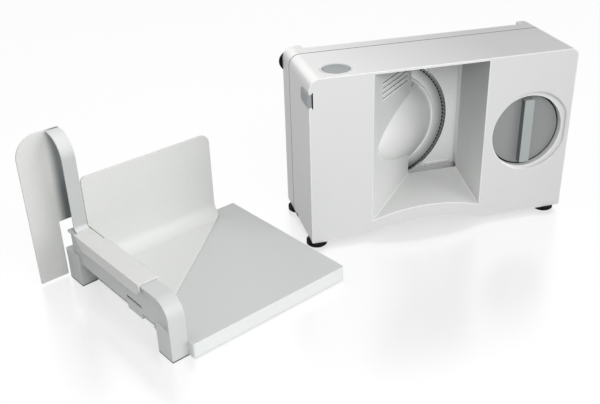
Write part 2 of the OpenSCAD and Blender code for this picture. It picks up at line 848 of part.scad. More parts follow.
module layshaft_pinion() {
    color(gear_white) at_housing()
        gear(lay_x, lay_z, gear_y, gear_w, layshaft_teeth, gear_module,
            lay_angle + 180 + 180 / layshaft_teeth, lay_shaft_r);
}

module blade_spindle() {
    color(steel_grey) at_housing() rod_y(blade_x, blade_z, spindle_y + cut, blade_y - spindle_y - cut, spindle_r, 64);
}

module blade_gear() {
    color(gear_white) at_housing() {
        gear(blade_x, blade_z, gear_y, gear_w, blade_gear_teeth, gear_module, lay_angle, spindle_r);
        difference() {
            rod_y(blade_x, blade_z, gear_y + gear_w, blade_y - gear_y - gear_w, blade_seat_r);
            rod_y(blade_x, blade_z, gear_y, blade_y, spindle_r, 64);
        }
    }
}

// The serrated disc: a bevelled rim, scalloped by one outline
function blade_outline() = [for (i = [0:blade_teeth - 1]) let (pitch = 360 / blade_teeth) each [
    polar(blade_r - tooth_depth, i * pitch), polar(blade_r, (i + tooth_rise_share) * pitch), polar(blade_r, (i + tooth_fall_share) * pitch)]];

module blade() {
    color(steel_grey) at_housing() difference() {
        intersection() {
            translate([blade_x, blade_y, blade_z]) rotate([-90, 0, 0]) rotate_extrude($fn = 144) polygon([
                [0, blade_t], [blade_r, blade_t], [blade_r, blade_t * edge_share], [blade_r - bevel_w, 0], [0, 0]]);
            translate([blade_x, 0, blade_z]) back_from(blade_y - cut, blade_t + 2 * cut) polygon(blade_outline());
        }
        rod_y(blade_x, blade_z, blade_y - cut, blade_t + 2 * cut, lock_stem_r, 48);
    }
}

// The bayonet knob that holds the blade from the feed side
module blade_lock() {
    color(cover_grey) at_housing() difference() {
        union() {
            translate([blade_x, blade_y + blade_t, blade_z]) rotate([-90, 0, 0]) rotate_extrude() polygon([
                [0, 0], [lock_r, 0], [lock_r, lock_h / 2], [lock_r - lock_h / 2, lock_h], [0, lock_h]]);
            rod_y(blade_x, blade_z, blade_y, blade_t + bite, lock_stem_r, 48);
        }
        translate([blade_x - lock_r, blade_y + blade_t + lock_h / 2, blade_z - lock_h / 2])
            cube([2 * lock_r, lock_h, lock_h]);
    }
}

// The dial: a disc in its well, a grip bar level with the front face, and the shaft
module thickness_dial() {
    grip_l = dial_dia - grip_short;
    color(dial_grey) at_housing() {
        rod_y(dial_x, dial_z, dial_sink, disc_t, dial_r, 120);
        intersection() {
            translate([dial_x - grip_w / 2, grip_proud, dial_z - grip_l / 2])
                cube([grip_w, dial_sink + bite - grip_proud, grip_l]);
            rod_y(dial_x, dial_z, 0, dial_sink + disc_t, grip_l / 2, 120);
        }
        rod_y(dial_x, dial_z, dial_sink + disc_t - bite, drum_y - dial_sink - disc_t + bite, dial_shaft_r, 64);
        rod_y(dial_x, dial_z, drum_y - bite, drum_l + bite, drum_seat_r, 48);
    }
}

// A band that winds once round the Z axis, as the cam's groove
module winding_band(r0, r1, width, start_z, rise, start_angle, sweep) {
    steps = 36;
    rows = [for (i = [0:steps]) let (share = i / steps, a = start_angle + sweep * share, z = start_z + rise * share)
        [[r0 * cos(a), r0 * sin(a), z - width / 2], [r1 * cos(a), r1 * sin(a), z - width / 2],
         [r1 * cos(a), r1 * sin(a), z + width / 2], [r0 * cos(a), r0 * sin(a), z + width / 2]]];
    sides = [for (i = [0:steps - 1]) for (k = [0:3]) let (a = 4 * i + k, b = 4 * i + (k + 1) % 4)
        each [[a, b, b + 4], [a, b + 4, a + 4]]];
    last = 4 * steps;
    polyhedron(points = [for (row = rows) each row], faces = concat([[2, 1, 0], [3, 2, 0]], sides,
        [[last, last + 1, last + 2], [last, last + 2, last + 3]]));
}

// The cam drum on the dial's shaft, with the groove that drives the stop plate
module cam_drum() {
    spare = 12;
    pitch = slice_max / dial_turn;
    color(gear_white) at_housing() difference() {
        rod_y(dial_x, dial_z, drum_y, drum_l, drum_r, 96);
        rod_y(dial_x, dial_z, drum_y - cut, drum_l + 2 * cut, drum_seat_r, 48);
        translate([dial_x, 0, dial_z]) rotate([-90, 0, 0])
            winding_band(drum_r - groove_d, drum_r + cut, groove_w, groove_rest_y - slice_max - spare * pitch,
                slice_max + 2 * spare * pitch, -dial_turn - spare, dial_turn + 2 * spare);
    }
}

// The stop plate's outline, hollowed round the blade
module stop_outline(grow = 0) {
    left = recess_x + recess_w - stop_reach;
    right = housing_l - right_rail_w - stop_side_gap;
    difference() {
        translate([left - grow, stop_z - grow])
            square([right - left + 2 * grow, housing_h - stop_top_gap - stop_z + 2 * grow]);
        translate([blade_x, blade_z]) circle(r = blade_r + blade_gap - grow, $fn = 160);
    }
}

module stop_plate() {
    color(cover_grey) at_housing() {
        back_from(stop_y, stop_t) stop_outline();
        for (p = rod_places) difference() {
            rod_y(p.x, p.y, stop_y - sleeve_l, sleeve_l, sleeve_r, 48);
            rod_y(p.x, p.y, stop_y - sleeve_l - cut, sleeve_l - stop_t + cut, rod_r + run_gap, 32);
        }
        translate([dial_x + drum_r + slip_gap + plain_gap, groove_rest_y - arm_w / 2, dial_z - arm_w / 2])
            cube([arm_t, stop_y - groove_rest_y + arm_w / 2, arm_w]);
        translate([dial_x + drum_r - groove_d + plain_gap, groove_rest_y, dial_z]) rotate([0, 90, 0])
            cylinder(h = groove_d + slip_gap + arm_t / 2, r = pin_r, $fn = 32);
    }
}

module guide_rods() {
    color(steel_grey) at_housing() for (p = rod_places)
        rod_y(p.x, p.y, wall, rod_end_y - wall, rod_r, 32);
}

module cover_screws() {
    color(steel_grey) at_housing() for (p = screw_places) {
        rod_y(p.x, p.y, shell_d - screw_l, screw_l + screw_seat, screw_r, 24);
        rod_y(p.x, p.y, shell_d + screw_seat, screw_head_h, 2 * screw_r, 32);
    }
}

// The rubber gland of the mains lead inside the notch at the left
module cord_gland() {
    color(rubber_black) at_housing() difference() {
        translate([0, notch_y - notch_l / 2, 0]) cube([2 * wall, notch_l, notch_h]);
        translate([-cut, notch_y, notch_h / 2]) rotate([0, 90, 0])
            cylinder(h = 2 * wall + 2 * cut, r = notch_h / 2 - gland_wall, $fn = 32);
    }
}

// The table plate: a flat tray, open and ribbed below
module table_plate() {
    color(table_grey) at_table() difference() {
        translate([0, plate_b, pad_t]) linear_extrude(table_h - pad_t)
            rounded_plate(table_l, table_w, [crisp_r, table_corner_r, table_corner_r, table_corner_r]);
        cells_a = round((table_l - wall) / rib_pitch);
        cells_b = round((table_w - wall) / rib_pitch);
        cell_a = (table_l - wall) / cells_a;
        cell_b = (table_w - wall) / cells_b;
        for (i = [0:cells_a - 1], j = [0:cells_b - 1])
            translate([wall + i * cell_a, plate_b + wall + j * cell_b, pad_t - cut])
                cube([cell_a - wall, cell_b - wall, table_h - pad_t - table_t + cut]);
    }
}

// The rail's side outline: the beam, the bend at its front end and the front leg
module rail_outline(inset = 0) {
    front = rail_front_a - inset;
    top = rail_h - inset;
    r = rail_bend_r - inset;
    polygon([[beam_a, bridge_h], [rail_front_a - front_leg_l, bridge_h], [rail_front_a - front_leg_l, pad_t],
             [front, pad_t], [front, top - r], [front - r, top], [beam_a, top]]);
    translate([front - r, top - r]) circle(r = r);
}

module slide_rail() {
    color(table_grey) at_table() difference() {
        union() {
            across(rail_b + web_inset, rail_w - web_inset) rail_outline();
            across(rail_b, web_inset + bite) difference() {
                rail_outline();
                difference() {
                    rail_outline(wall);
                    translate([rail_front_a - front_leg_l, 0]) square([front_leg_l, leg_panel_h]);
                }
                translate([beam_a - cut, bridge_h - cut])
                    square([rail_front_a - front_leg_l - beam_a + cut, rail_h - wall - bridge_h + cut]);
            }
        }
        translate([catch_a - slip_gap, rail_b + web_inset - cut, bridge_h - cut])
            cube([catch_l + 2 * slip_gap, catch_t + cut + slip_gap, catch_h + catch_travel + plain_gap + cut]);
    }
}

module rear_leg() {
    color(table_grey) at_table() difference() {
        translate([rail_a, rail_b, pad_t]) cube([rear_leg_l, rail_w, rear_leg_h - pad_t]);
        translate([beam_a, rail_b + web_inset, bridge_h])
            cube([rear_leg_l, rail_w, rear_leg_h]);
    }
}

module leg_pads() {
    color(rubber_black) at_table() {
        translate([rail_a, rail_b, 0]) cube([rear_leg_l, rail_w, pad_t]);
        translate([rail_front_a - front_leg_l, rail_b, 0]) cube([front_leg_l, rail_w, pad_t]);
    }
}

// Four thin pads under the table plate's corners
module table_feet() {
    color(rubber_black) at_table()
        for (a = [pad_in, table_l - pad_in], b = [plate_b + pad_in, plate_b + table_w - pad_in])
            translate([a, b, 0]) cylinder(h = pad_t, r = pad_r, $fn = 48);
}

// The catch under the rail that is pressed up to free the carriage
module carriage_catch() {
    color(table_grey) at_table() translate([catch_a, rail_b + web_inset, bridge_h - catch_h])
        cube([catch_l, catch_t, 2 * catch_h - plain_gap]);
}

// The carriage: fence, bend and floor sheet in one, a side wall, and the strip that rides on the rail
module carriage() {
    bend = fence_bend_r + sheet_t;
    color(carriage_grey) at_table() difference() {
        union() {
            intersection() {
                across(wall_b, fence_w) {
                    translate([carriage_a, floor_z + bend]) square([sheet_t, fence_h - floor_z - bend]);
                    translate([carriage_a + bend, floor_z]) square([diagonal_a - carriage_a - bend, sheet_t]);
                    intersection() {
                        translate([carriage_a + bend, floor_z + bend]) difference() {
                            circle(r = bend);
                            circle(r = fence_bend_r);
                        }
                        translate([carriage_a, floor_z]) square(bend);
                    }
                }
                linear_extrude(fence_h) polygon([[carriage_a, wall_b], [diagonal_a, wall_b],
                    [diagonal_a, wall_b + tip_b], [carriage_a + bend / 2, wall_b + fence_w],
                    [carriage_a, wall_b + fence_w]]);
                translate([carriage_a, wall_b, floor_z]) rotate([90, 0, 90]) linear_extrude(carriage_l)
                    rounded_plate(fence_w, fence_h - floor_z, [crisp_r, crisp_r, fence_top_r, fence_low_r]);
            }
            across(wall_b, sheet_t) translate([carriage_a + sheet_t / 2, floor_z])
                square([diagonal_a - carriage_a - sheet_t / 2, flange_z + sheet_t - floor_z]);
            translate([strip_a, lip_b, flange_z]) cube([diagonal_a - strip_a, wall_b - lip_b + sheet_t / 2, sheet_t]);
            across(lip_b, sheet_t) polygon([[strip_a, flange_z + sheet_t], [strip_a + lip_h, flange_z + sheet_t - lip_h],
                [diagonal_a - lip_end_r, flange_z + sheet_t - lip_h], [diagonal_a, flange_z + sheet_t - lip_h + lip_end_r],
                [diagonal_a, flange_z + sheet_t]]);
        }
        translate([strip_a - cut, wall_b - slit_w, flange_z - cut]) cube([slit_l + cut, slit_w, sheet_t + 2 * cut]);
    }
}

// The handle: a band that rises from the strip, bends back and becomes the guard plate
module hand_guard() {
    strip_top = flange_z + sheet_t;
    color(carriage_grey) at_table() {
        across(band_b, band_w) {
            translate([band_a, flange_z + sheet_t + band_low_r])
                square([sheet_t, handle_h - handle_bend_r - strip_top - band_low_r]);
            intersection() {
                translate([band_a + sheet_t + band_low_r, strip_top + band_low_r]) difference() {
                    circle(r = band_low_r + sheet_t);
                    circle(r = band_low_r);
                }
                translate([band_a, flange_z]) square(band_low_r + sheet_t);
            }
            intersection() {
                translate([band_a + sheet_t - handle_bend_r, handle_h - handle_bend_r]) difference() {
                    circle(r = handle_bend_r);
                    circle(r = handle_bend_r - sheet_t);
                }
                translate([band_a + sheet_t - handle_bend_r, handle_h - handle_bend_r]) square(handle_bend_r);
            }
            translate([guard_a, handle_h - sheet_t])
                square([band_a + sheet_t - handle_bend_r - guard_a, sheet_t]);
        }
        translate([guard_a, rail_b - guard_reach, guard_low_z]) rotate([90, 0, 90]) linear_extrude(sheet_t)
            difference() {
                rounded_plate(band_b + band_w - rail_b + guard_reach, handle_h - guard_low_z,
                    [crisp_r, crisp_r, crisp_r, guard_round_r]);
                translate([guard_reach - plain_gap, -cut])
                    square([rail_w + guard_reach, strip_top + plain_gap - guard_low_z + cut]);
            }
    }
}

front_shell();
back_cover();
bottom_feet();
back_feet();
switch_ring();
power_switch();
motor_can();
gear_frame();
gear_cover_plate();
spindle_bushes();
shaft_bushes();
guide_rods();
cover_screws();
cord_gland();
motor_shaft();
motor_pinion();
layshaft();
layshaft_wheel();
layshaft_pinion();
blade();
blade_gear();
blade_spindle();
blade_lock();
thickness_dial();
cam_drum();
stop_plate();
switch_button();
button_spring();
lock_key();
table_plate();
slide_rail();
rear_leg();
leg_pads();
table_feet();
carriage_catch();
carriage();
hand_guard();
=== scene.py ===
"""Folding food slicer beside its feed table: finishes, moulded detail, studio light and camera.

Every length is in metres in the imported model's frame. Millimetre fields carry _mm in their names, and
fields that end in _rise, _turn or _cosines hold parts of unit normals. Some finishes also carry part of the
photograph's shading in their colour, and their docstrings say so.
"""

from __future__ import annotations

import logging
import math
from dataclasses import dataclass, field
from enum import Enum
from typing import Any

import bmesh
import bpy
from mathutils import Matrix, Vector


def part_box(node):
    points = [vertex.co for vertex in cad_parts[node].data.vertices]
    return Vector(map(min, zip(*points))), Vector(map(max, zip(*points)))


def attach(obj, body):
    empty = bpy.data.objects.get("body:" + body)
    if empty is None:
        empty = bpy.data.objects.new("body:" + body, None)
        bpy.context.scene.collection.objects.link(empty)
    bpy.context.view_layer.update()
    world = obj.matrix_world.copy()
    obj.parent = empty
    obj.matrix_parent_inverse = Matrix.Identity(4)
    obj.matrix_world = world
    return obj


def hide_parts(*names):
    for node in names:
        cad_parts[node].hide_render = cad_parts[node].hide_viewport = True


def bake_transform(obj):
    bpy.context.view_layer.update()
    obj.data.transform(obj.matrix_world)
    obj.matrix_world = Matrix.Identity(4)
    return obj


LOG = logging.getLogger("food_slicer")
MM = 0.001
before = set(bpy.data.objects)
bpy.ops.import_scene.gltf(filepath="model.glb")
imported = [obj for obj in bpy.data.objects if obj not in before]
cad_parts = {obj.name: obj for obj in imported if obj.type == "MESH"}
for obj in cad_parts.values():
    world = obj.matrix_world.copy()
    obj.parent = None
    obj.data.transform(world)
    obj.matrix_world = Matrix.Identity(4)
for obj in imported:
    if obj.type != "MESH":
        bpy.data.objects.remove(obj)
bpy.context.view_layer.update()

Socket = bpy.types.NodeSocket
Triple = tuple[float, float, float]
Span = tuple[float, float]
Profile = list[tuple[float, float]]


class Crease(Enum):
    """Angles in degrees over which a piece's edges stay sharp."""

    BLADE = 20.0
    MOULDING = 32.0
    WIRE = 40.0
    BEAD = 50.0


def linear(hex_colour: str) -> tuple[float, float, float, float]:
    """Turns an sRGB hex colour into linear light.

    Args:
        hex_colour: The colour as "#rrggbb".

    Returns:
        Linear red, green and blue with an alpha of 1.
    """
    channels = [int(hex_colour[i:i + 2], 16) / 255 for i in (1, 3, 5)]
    return (*[c / 12.92 if c <= 0.04045 else ((c + 0.055) / 1.055) ** 2.4 for c in channels], 1.0)


def add_node(tree: bpy.types.NodeTree, kind: str, settings: dict[str, Any] | None = None,
             **inputs: Any) -> bpy.types.Node:
    """Adds a shader node with its settings, input values and links.

    Args:
        tree: The node tree that gets the node.
        kind: Blender's type name of the node.
        settings: Attributes to set on the node itself.
        **inputs: Input values or output sockets, by input name with _ for a space, or in_0 for a place.

    Returns:
        The new node.
    """
    node = tree.nodes.new(kind)
    for name, value in (settings or {}).items():
        setattr(node, name, value)
    for name, value in inputs.items():
        key = int(name[3:]) if name.startswith("in_") else name.replace("_", " ")
        if isinstance(value, bpy.types.NodeSocket):
            tree.links.new(value, node.inputs[key])
        else:
            node.inputs[key].default_value = value
    return node


@dataclass(frozen=True)
class Skin:
    """A surface shader while its nodes are laid out."""

    tree: bpy.types.NodeTree
    shader: bpy.types.Node
    place: Socket

    def link(self, value: Socket, name: str) -> None:
        """Feeds one of the shader's inputs.

        Args:
            value: The socket that feeds it.
            name: The input's name.
        """
        self.tree.links.new(value, self.shader.inputs[name])

    def maths(self, operation: str, *values: Any) -> Socket:
        """Adds one arithmetic step.

        Args:
            operation: Blender's name of the operation.
            *values: Its numbers or sockets.

        Returns:
            The result.
        """
        inputs = {f"in_{index}": value for index, value in enumerate(values)}
        return add_node(self.tree, "ShaderNodeMath", {"operation": operation}, **inputs).outputs[0]

    def dot(self, first: Any, second: Any) -> Socket:
        """Gives the dot product of two vectors, each a socket or three numbers."""
        return add_node(self.tree, "ShaderNodeVectorMath", {"operation": "DOT_PRODUCT"}, in_0=first,
                        in_1=second).outputs["Value"]

    def length(self, vector: Socket) -> Socket:
        """Gives a vector's length."""
        return add_node(self.tree, "ShaderNodeVectorMath", {"operation": "LENGTH"}, in_0=vector).outputs["Value"]

    def axis(self, vector: Socket, name: str) -> Socket:
        """Gives a vector's X, Y or Z."""
        return add_node(self.tree, "ShaderNodeSeparateXYZ", Vector=vector).outputs[name]

    def seen_from(self, centre: Triple) -> Socket:
        """Gives the place as measured from a centre."""
        return add_node(self.tree, "ShaderNodeMapping", Vector=self.place,
                        Location=tuple(-c for c in centre)).outputs[0]

    def facing(self) -> Socket:
        """Gives the face's own normal, without bump or rounded edges."""
        return add_node(self.tree, "ShaderNodeTexCoord").outputs["Normal"]

    def rounded(self, radius: Any) -> Socket:
        """Gives the normal with edges rounded by a radius in metres."""
        return add_node(self.tree, "ShaderNodeBevel", {"samples": 6}, Radius=radius).outputs["Normal"]

    def noise(self, size_mm: float, detail: float, **more: Any) -> Socket:
        """Adds a noise over the object.

        Args:
            size_mm: The size of its grains.
            detail: How many finer layers it has.
            **more: The noise's other inputs.

        Returns:
            The noise, from 0 to 1.
        """
        return add_node(self.tree, "ShaderNodeTexNoise", Vector=self.place, Scale=1 / (size_mm * MM),
                        Detail=detail, **more).outputs[0]

    def ramp(self, value: Socket, start: float, end: float, low: Any = 0.0, high: Any = 1.0,
             smooth: bool = False) -> Socket:
        """Runs from low to high while a value runs from start to end, and stays level beyond.

        Args:
            value: The value that drives it.
            start: The value at which it leaves low.
            end: The value at which it reaches high.
            low: The result up to the start.
            high: The result from the end on.
            smooth: Whether it eases in and out.

        Returns:
            The result.
        """
        settings = {"interpolation_type": "SMOOTHSTEP"} if smooth else None
        return add_node(self.tree, "ShaderNodeMapRange", settings, Value=value, From_Min=start, From_Max=end,
                        To_Min=low, To_Max=high).outputs[0]

    def ramp_mm(self, value: Socket, span_mm: Span, low: Any = 0.0, high: Any = 1.0, base: float = 0.0,
                smooth: bool = False) -> Socket:
        """Runs from low to high over a span in millimetres.

        Args:
            value: The value in metres that drives it.
            span_mm: Where it leaves low and where it reaches high.
            low: The result up to the span.
            high: The result beyond it.
            base: The value in metres from which the span is measured.
            smooth: Whether it eases in and out.

        Returns:
            The result.
        """
        start, end = (base + edge * MM for edge in span_mm)
        return self.ramp(value, start, end, low, high, smooth)

    def mix(self, share: Socket, under: Any, over: Any) -> Socket:
        """Mixes two colours.

        Args:
            share: How much of the second colour is taken.
            under: The first colour, as a socket, a hex colour or a linear colour.
            over: The second colour, in the same forms.

        Returns:
            The mixed colour.
        """
        under, over = (linear(c) if isinstance(c, str) else c for c in (under, over))
        return add_node(self.tree, "ShaderNodeMix", {"data_type": "RGBA"}, in_0=share, in_6=under,
                        in_7=over).outputs[2]

    def lay(self, colour: Any, share: Socket) -> None:
        """Lays a colour over the base colour, which is already linked.

        Args:
            colour: The colour, as a socket or a hex colour.
            share: How much of it is taken.
        """
        under = self.shader.inputs["Base Color"].links[0].from_socket
        self.link(self.mix(share, under, colour), "Base Color")

    def relief(self, height: Socket, depth_mm: float, strength: float, normal: Socket | None) -> None:
        """Adds a bump.

        Args:
            height: The pattern that it follows.
            depth_mm: Its depth.
            strength: Its strength.
            normal: The rounded edges' normal that it lies on, if there is one.
        """
        bump = add_node(self.tree, "ShaderNodeBump", Strength=strength, Distance=depth_mm * MM, Height=height)
        if normal:
            self.tree.links.new(normal, bump.inputs["Normal"])
        self.link(bump.outputs[0], "Normal")


@dataclass(frozen=True)
class Finish:
    """A surface made from one base shader; the subclasses add its pattern."""

    name: str
    colour: str
    roughness: float
    ior: float = 1.5
    metallic: float = 0.0
    edge_mm: float = 0.0
    # The edge colour is a painted highlight along the edges.
    edge_highlight_colour: str = ""
    specular: float = 0.5
    highlight_mm: float = 0.0
    lift_cosines: Span = (0.97, 0.89)

    def material(self) -> bpy.types.Material:
        """Builds the material, or returns the one already built under this name."""
        found = bpy.data.materials.get(self.name)
        if found:
            return found
        made = bpy.data.materials.new(self.name)
        made.use_nodes = True
        tree = made.node_tree
        tree.nodes.clear()
        shader = add_node(tree, "ShaderNodeBsdfPrincipled", Base_Color=linear(self.colour),
                          Roughness=self.roughness, IOR=self.ior, Metallic=self.metallic,
                          Specular_IOR_Level=self.specular)
        skin = Skin(tree, shader, add_node(tree, "ShaderNodeTexCoord").outputs["Object"])
        self.pattern(skin, skin.rounded(self.edge_radius(skin)) if self.edge_mm else None)
        if self.edge_highlight_colour:
            self.paint_edge_highlights(skin)
        self.mark(skin)
        add_node(tree, "ShaderNodeOutputMaterial", Surface=shader.outputs["BSDF"])
        return made

    def pattern(self, skin: Skin, normal: Socket | None) -> None:
        """Adds the surface's pattern; the plain finish has only its rounded edges.

        Args:
            skin: The shader in the making.
            normal: The rounded edges' normal, if the finish has such edges.
        """
        if normal:
            skin.link(normal, "Normal")

    def mark(self, skin: Skin) -> None:
        """Adds the marks that lie over the brightened edges; the plain finish has none."""

    def edge_radius(self, skin: Skin) -> Any:
        """Gives the edges' rounding in metres; here it is the same everywhere."""
        return self.edge_mm * MM

    def edge_highlight_share(self, skin: Skin) -> Any:
        """Gives how much of the painted edge highlight the edges take; here it is the same everywhere."""
        return 1.0

    def paint_edge_highlights(self, skin: Skin) -> None:
        """Lays the edge colour along the edges as a painted highlight, which matches the light lines in the
        photograph.

        Args:
            skin: The shader in the making, whose base colour is already linked.
        """
        wide = skin.rounded((self.highlight_mm or self.edge_mm) * MM)
        flat = add_node(skin.tree, "ShaderNodeNewGeometry").outputs["Normal"]
        skin.lay(self.edge_highlight_colour, skin.ramp(skin.dot(wide, flat), *self.lift_cosines, high=self.edge_highlight_share(skin)))

    def tint(self, skin: Skin, share: Socket, depth: float) -> None:
        """Varies the base colour a little by a pattern.

        Args:
            skin: The shader in the making.
            share: The pattern, from 0 to 1.
            depth: How much darker and lighter the colour gets, as a share.
        """
        low, high = ((*[min(c * scale, 1.0) for c in linear(self.colour)[:3]], 1.0)
                     for scale in (1 - depth, 1 + depth))
        skin.link(skin.mix(share, low, high), "Base Color")


@dataclass(frozen=True)
class MouldedPlastic(Finish):
    """Injection-moulded ABS, spark-eroded: an even, fine satin grain with slow changes of gloss.

    The side colour is painted shading, fitted to the photograph's shading of the upright faces.
    """

    grain_mm: float = 0.9
    grain_depth_mm: float = 0.03
    grain_strength: float = 0.25
    slow_mm: float = 55.5556
    slow_tint: float = 0.012
    gloss_change: float = 0.05
    upright_shading_colour: str = ""
    side_rise: Span = (0.7, 0.3)
    parting_mm: float = 0.0
    parting_y: float = 0.0
    parting_colour: str = "#1c2022"
    parting_turn: float = 0.1

    def pattern(self, skin: Skin, normal: Socket | None) -> None:
        """Adds the grain's bump, a slow change of colour and gloss, and the painted shading of the upright faces.
        """
        slow = skin.noise(self.slow_mm, 2.0)
        self.tint(skin, slow, self.slow_tint)
        if self.upright_shading_colour:
            skin.lay(self.upright_shading_colour, skin.ramp(skin.axis(skin.facing(), "Z"), *self.side_rise))
        gloss = (self.roughness - self.gloss_change, self.roughness + self.gloss_change)
        skin.link(skin.ramp(slow, 0.0, 1.0, *gloss), "Roughness")
        grain = skin.noise(self.grain_mm, 2.0, Roughness=0.6)
        skin.relief(grain, self.grain_depth_mm, self.grain_strength, normal)

    def mark(self, skin: Skin) -> None:
        """Darkens the narrow joint between two mouldings, at one depth along Y, on faces that run along Y."""
        if not self.parting_mm:
            return
        off = skin.maths("ABSOLUTE", skin.maths("SUBTRACT", skin.axis(skin.place, "Y"), self.parting_y))
        near = skin.ramp_mm(off, (self.parting_mm, self.parting_mm / 2))
        turn = skin.axis(skin.facing(), "Y")
        level = skin.maths("LESS_THAN", skin.maths("MULTIPLY", turn, turn), self.parting_turn)
        skin.lay(self.parting_colour, skin.maths("MULTIPLY", near, level))


@dataclass(frozen=True)
class ShadedWall:
    """An upright wall of the recess that takes painted shade, found by its facing and its distance from the origin
    along it.
    """

    facing: Triple
    offset: float
    most: float


@dataclass(frozen=True)
class HousingPlastic(MouldedPlastic):
    """The housing's ABS, whose dial well has a wide rounded mouth.

    The walls' painted shade, the top face's painted run from light to shade and the painted highlight on its
    left shoulder are fitted to the photograph's shading.
    """

    mouth: Triple = (0.0, 0.0, 0.0)
    mouth_mm: Span = (55.0, 59.0)
    mouth_edge_mm: float = 5.0
    mouth_highlight_share: float = 0.5
    rim_mm: Span = (50.0, 51.5)
    walls: tuple[ShadedWall, ...] = ()
    wall_reach_mm: float = 0.9
    wall_cosine: float = 0.95
    wall_z_mm: Span = (55.0, 205.0)
    wall_shade_colour: str = "#8f9494"
    top_z_mm: float = 180.0
    top_x_mm: Span = (25.0, 240.0)
    top_rise: Span = (0.9, 0.99)
    top_shade_colours: tuple[str, str] = ("#e3e4e3", "#c4c5c4")
    shoulder_facing: Triple = (-0.5, 0.0, 0.866)
    shoulder_cosines: Span = (0.87, 0.99)

    def pattern(self, skin: Skin, normal: Socket | None) -> None:
        """Adds the grain, painted shade that grows up the recess walls, and painted light and shade on the top
        face.
        """
        super().pattern(skin, normal)
        faces = skin.facing()
        rise = skin.axis(skin.place, "Z")
        # Painted shade on the recess walls, growing upwards.
        for wall in self.walls:
            near = skin.maths("COMPARE", skin.dot(skin.place, wall.facing), wall.offset, self.wall_reach_mm * MM)
            flat = skin.maths("GREATER_THAN", skin.dot(faces, wall.facing), self.wall_cosine)
            wall_shade_share = skin.ramp_mm(rise, self.wall_z_mm, high=wall.most)
            skin.lay(self.wall_shade_colour, skin.maths("MULTIPLY", skin.maths("MULTIPLY", near, flat), wall_shade_share))
        # Painted light and shade on the top face: light at the left, greyer towards the right.
        high = skin.maths("GREATER_THAN", rise, self.top_z_mm * MM)
        top_shade = skin.mix(skin.ramp_mm(skin.axis(skin.place, "X"), self.top_x_mm), *self.top_shade_colours)
        skin.lay(top_shade, skin.ramp(skin.axis(faces, "Z"), *self.top_rise, high=high))
        # A painted highlight on the top's rounded left shoulder, in the edge colour.
        shoulder = skin.dot(faces, self.shoulder_facing)
        skin.lay(self.edge_highlight_colour, skin.ramp(shoulder, *self.shoulder_cosines, high=high))

    def near_mouth(self, skin: Skin, inside: float, outside: float) -> Socket:
        """Gives one value on the shallow crescent round the dial's well and another away from it.

        Args:
            skin: The shader in the making.
            inside: The value on the crescent.
            outside: The value elsewhere, also on the well's own rim.

        Returns:
            The value's socket.
        """
        reach = skin.length(skin.seen_from(self.mouth))
        rim = skin.ramp_mm(reach, self.rim_mm, outside, inside)
        return skin.ramp_mm(reach, self.mouth_mm, rim, outside)

    def edge_radius(self, skin: Skin) -> Any:
        """Gives the edges' rounding, wider round the dial's mouth."""
        return self.near_mouth(skin, self.mouth_edge_mm * MM, self.edge_mm * MM)

    def edge_highlight_share(self, skin: Skin) -> Any:
        """Gives the painted edge highlight's share, smaller round the dial's mouth."""
        return self.near_mouth(skin, self.mouth_highlight_share, 1.0)


@dataclass(frozen=True)
class GripPlastic(MouldedPlastic):
    """The dial's ABS; the painted light on the grip bar's face and the painted shade on its flanks are fitted to
    the photograph's shading.
    """

    face_y: float = 0.0
    face_depth_mm: float = 6.0
    face_light_colour: str = "#a5aaab"
    flank_turn: Span = (0.5, 0.8)
    flank_shade_colour: str = "#5d6364"

    def pattern(self, skin: Skin, normal: Socket | None) -> None:
        """Adds the grain, the painted light on the face and the painted shade on the flanks."""
        super().pattern(skin, normal)
        depth = skin.axis(skin.place, "Y")
        skin.lay(self.face_light_colour, skin.ramp_mm(depth, (0.0, self.face_depth_mm), 1.0, 0.0, self.face_y))
        turn = skin.maths("ABSOLUTE", skin.axis(skin.facing(), "X"))
        skin.lay(self.flank_shade_colour, skin.ramp(turn, *self.flank_turn))


@dataclass(frozen=True)
class LacqueredSheet(Finish):
    """Bent sheet under a silver lacquer: tiny flakes, with a smooth orange-peel surface."""

    flake_mm: float = 0.8
    flake_tint: float = 0.03
    peel_mm: float = 4.0
    peel_depth_mm: float = 0.04
    peel_strength: float = 0.12
    cut_shade_colour: str = ""
    cut_turn: Span = (0.6, 0.3)

    def pattern(self, skin: Skin, normal: Socket | None) -> None:
        """Adds the flakes, the peel and, where it is given, painted shade on the cut edges, which face across Y.
        """
        flakes = add_node(skin.tree, "ShaderNodeTexVoronoi", Vector=skin.place, Scale=1 / (self.flake_mm * MM))
        shade = add_node(skin.tree, "ShaderNodeSeparateColor", Color=flakes.outputs["Color"]).outputs[0]
        self.tint(skin, shade, self.flake_tint)
        if self.cut_shade_colour:
            turn = skin.maths("ABSOLUTE", skin.axis(skin.facing(), "Y"))
            skin.lay(self.cut_shade_colour, skin.ramp(turn, *self.cut_turn))
        skin.relief(skin.noise(self.peel_mm, 1.0), self.peel_depth_mm, self.peel_strength, normal)


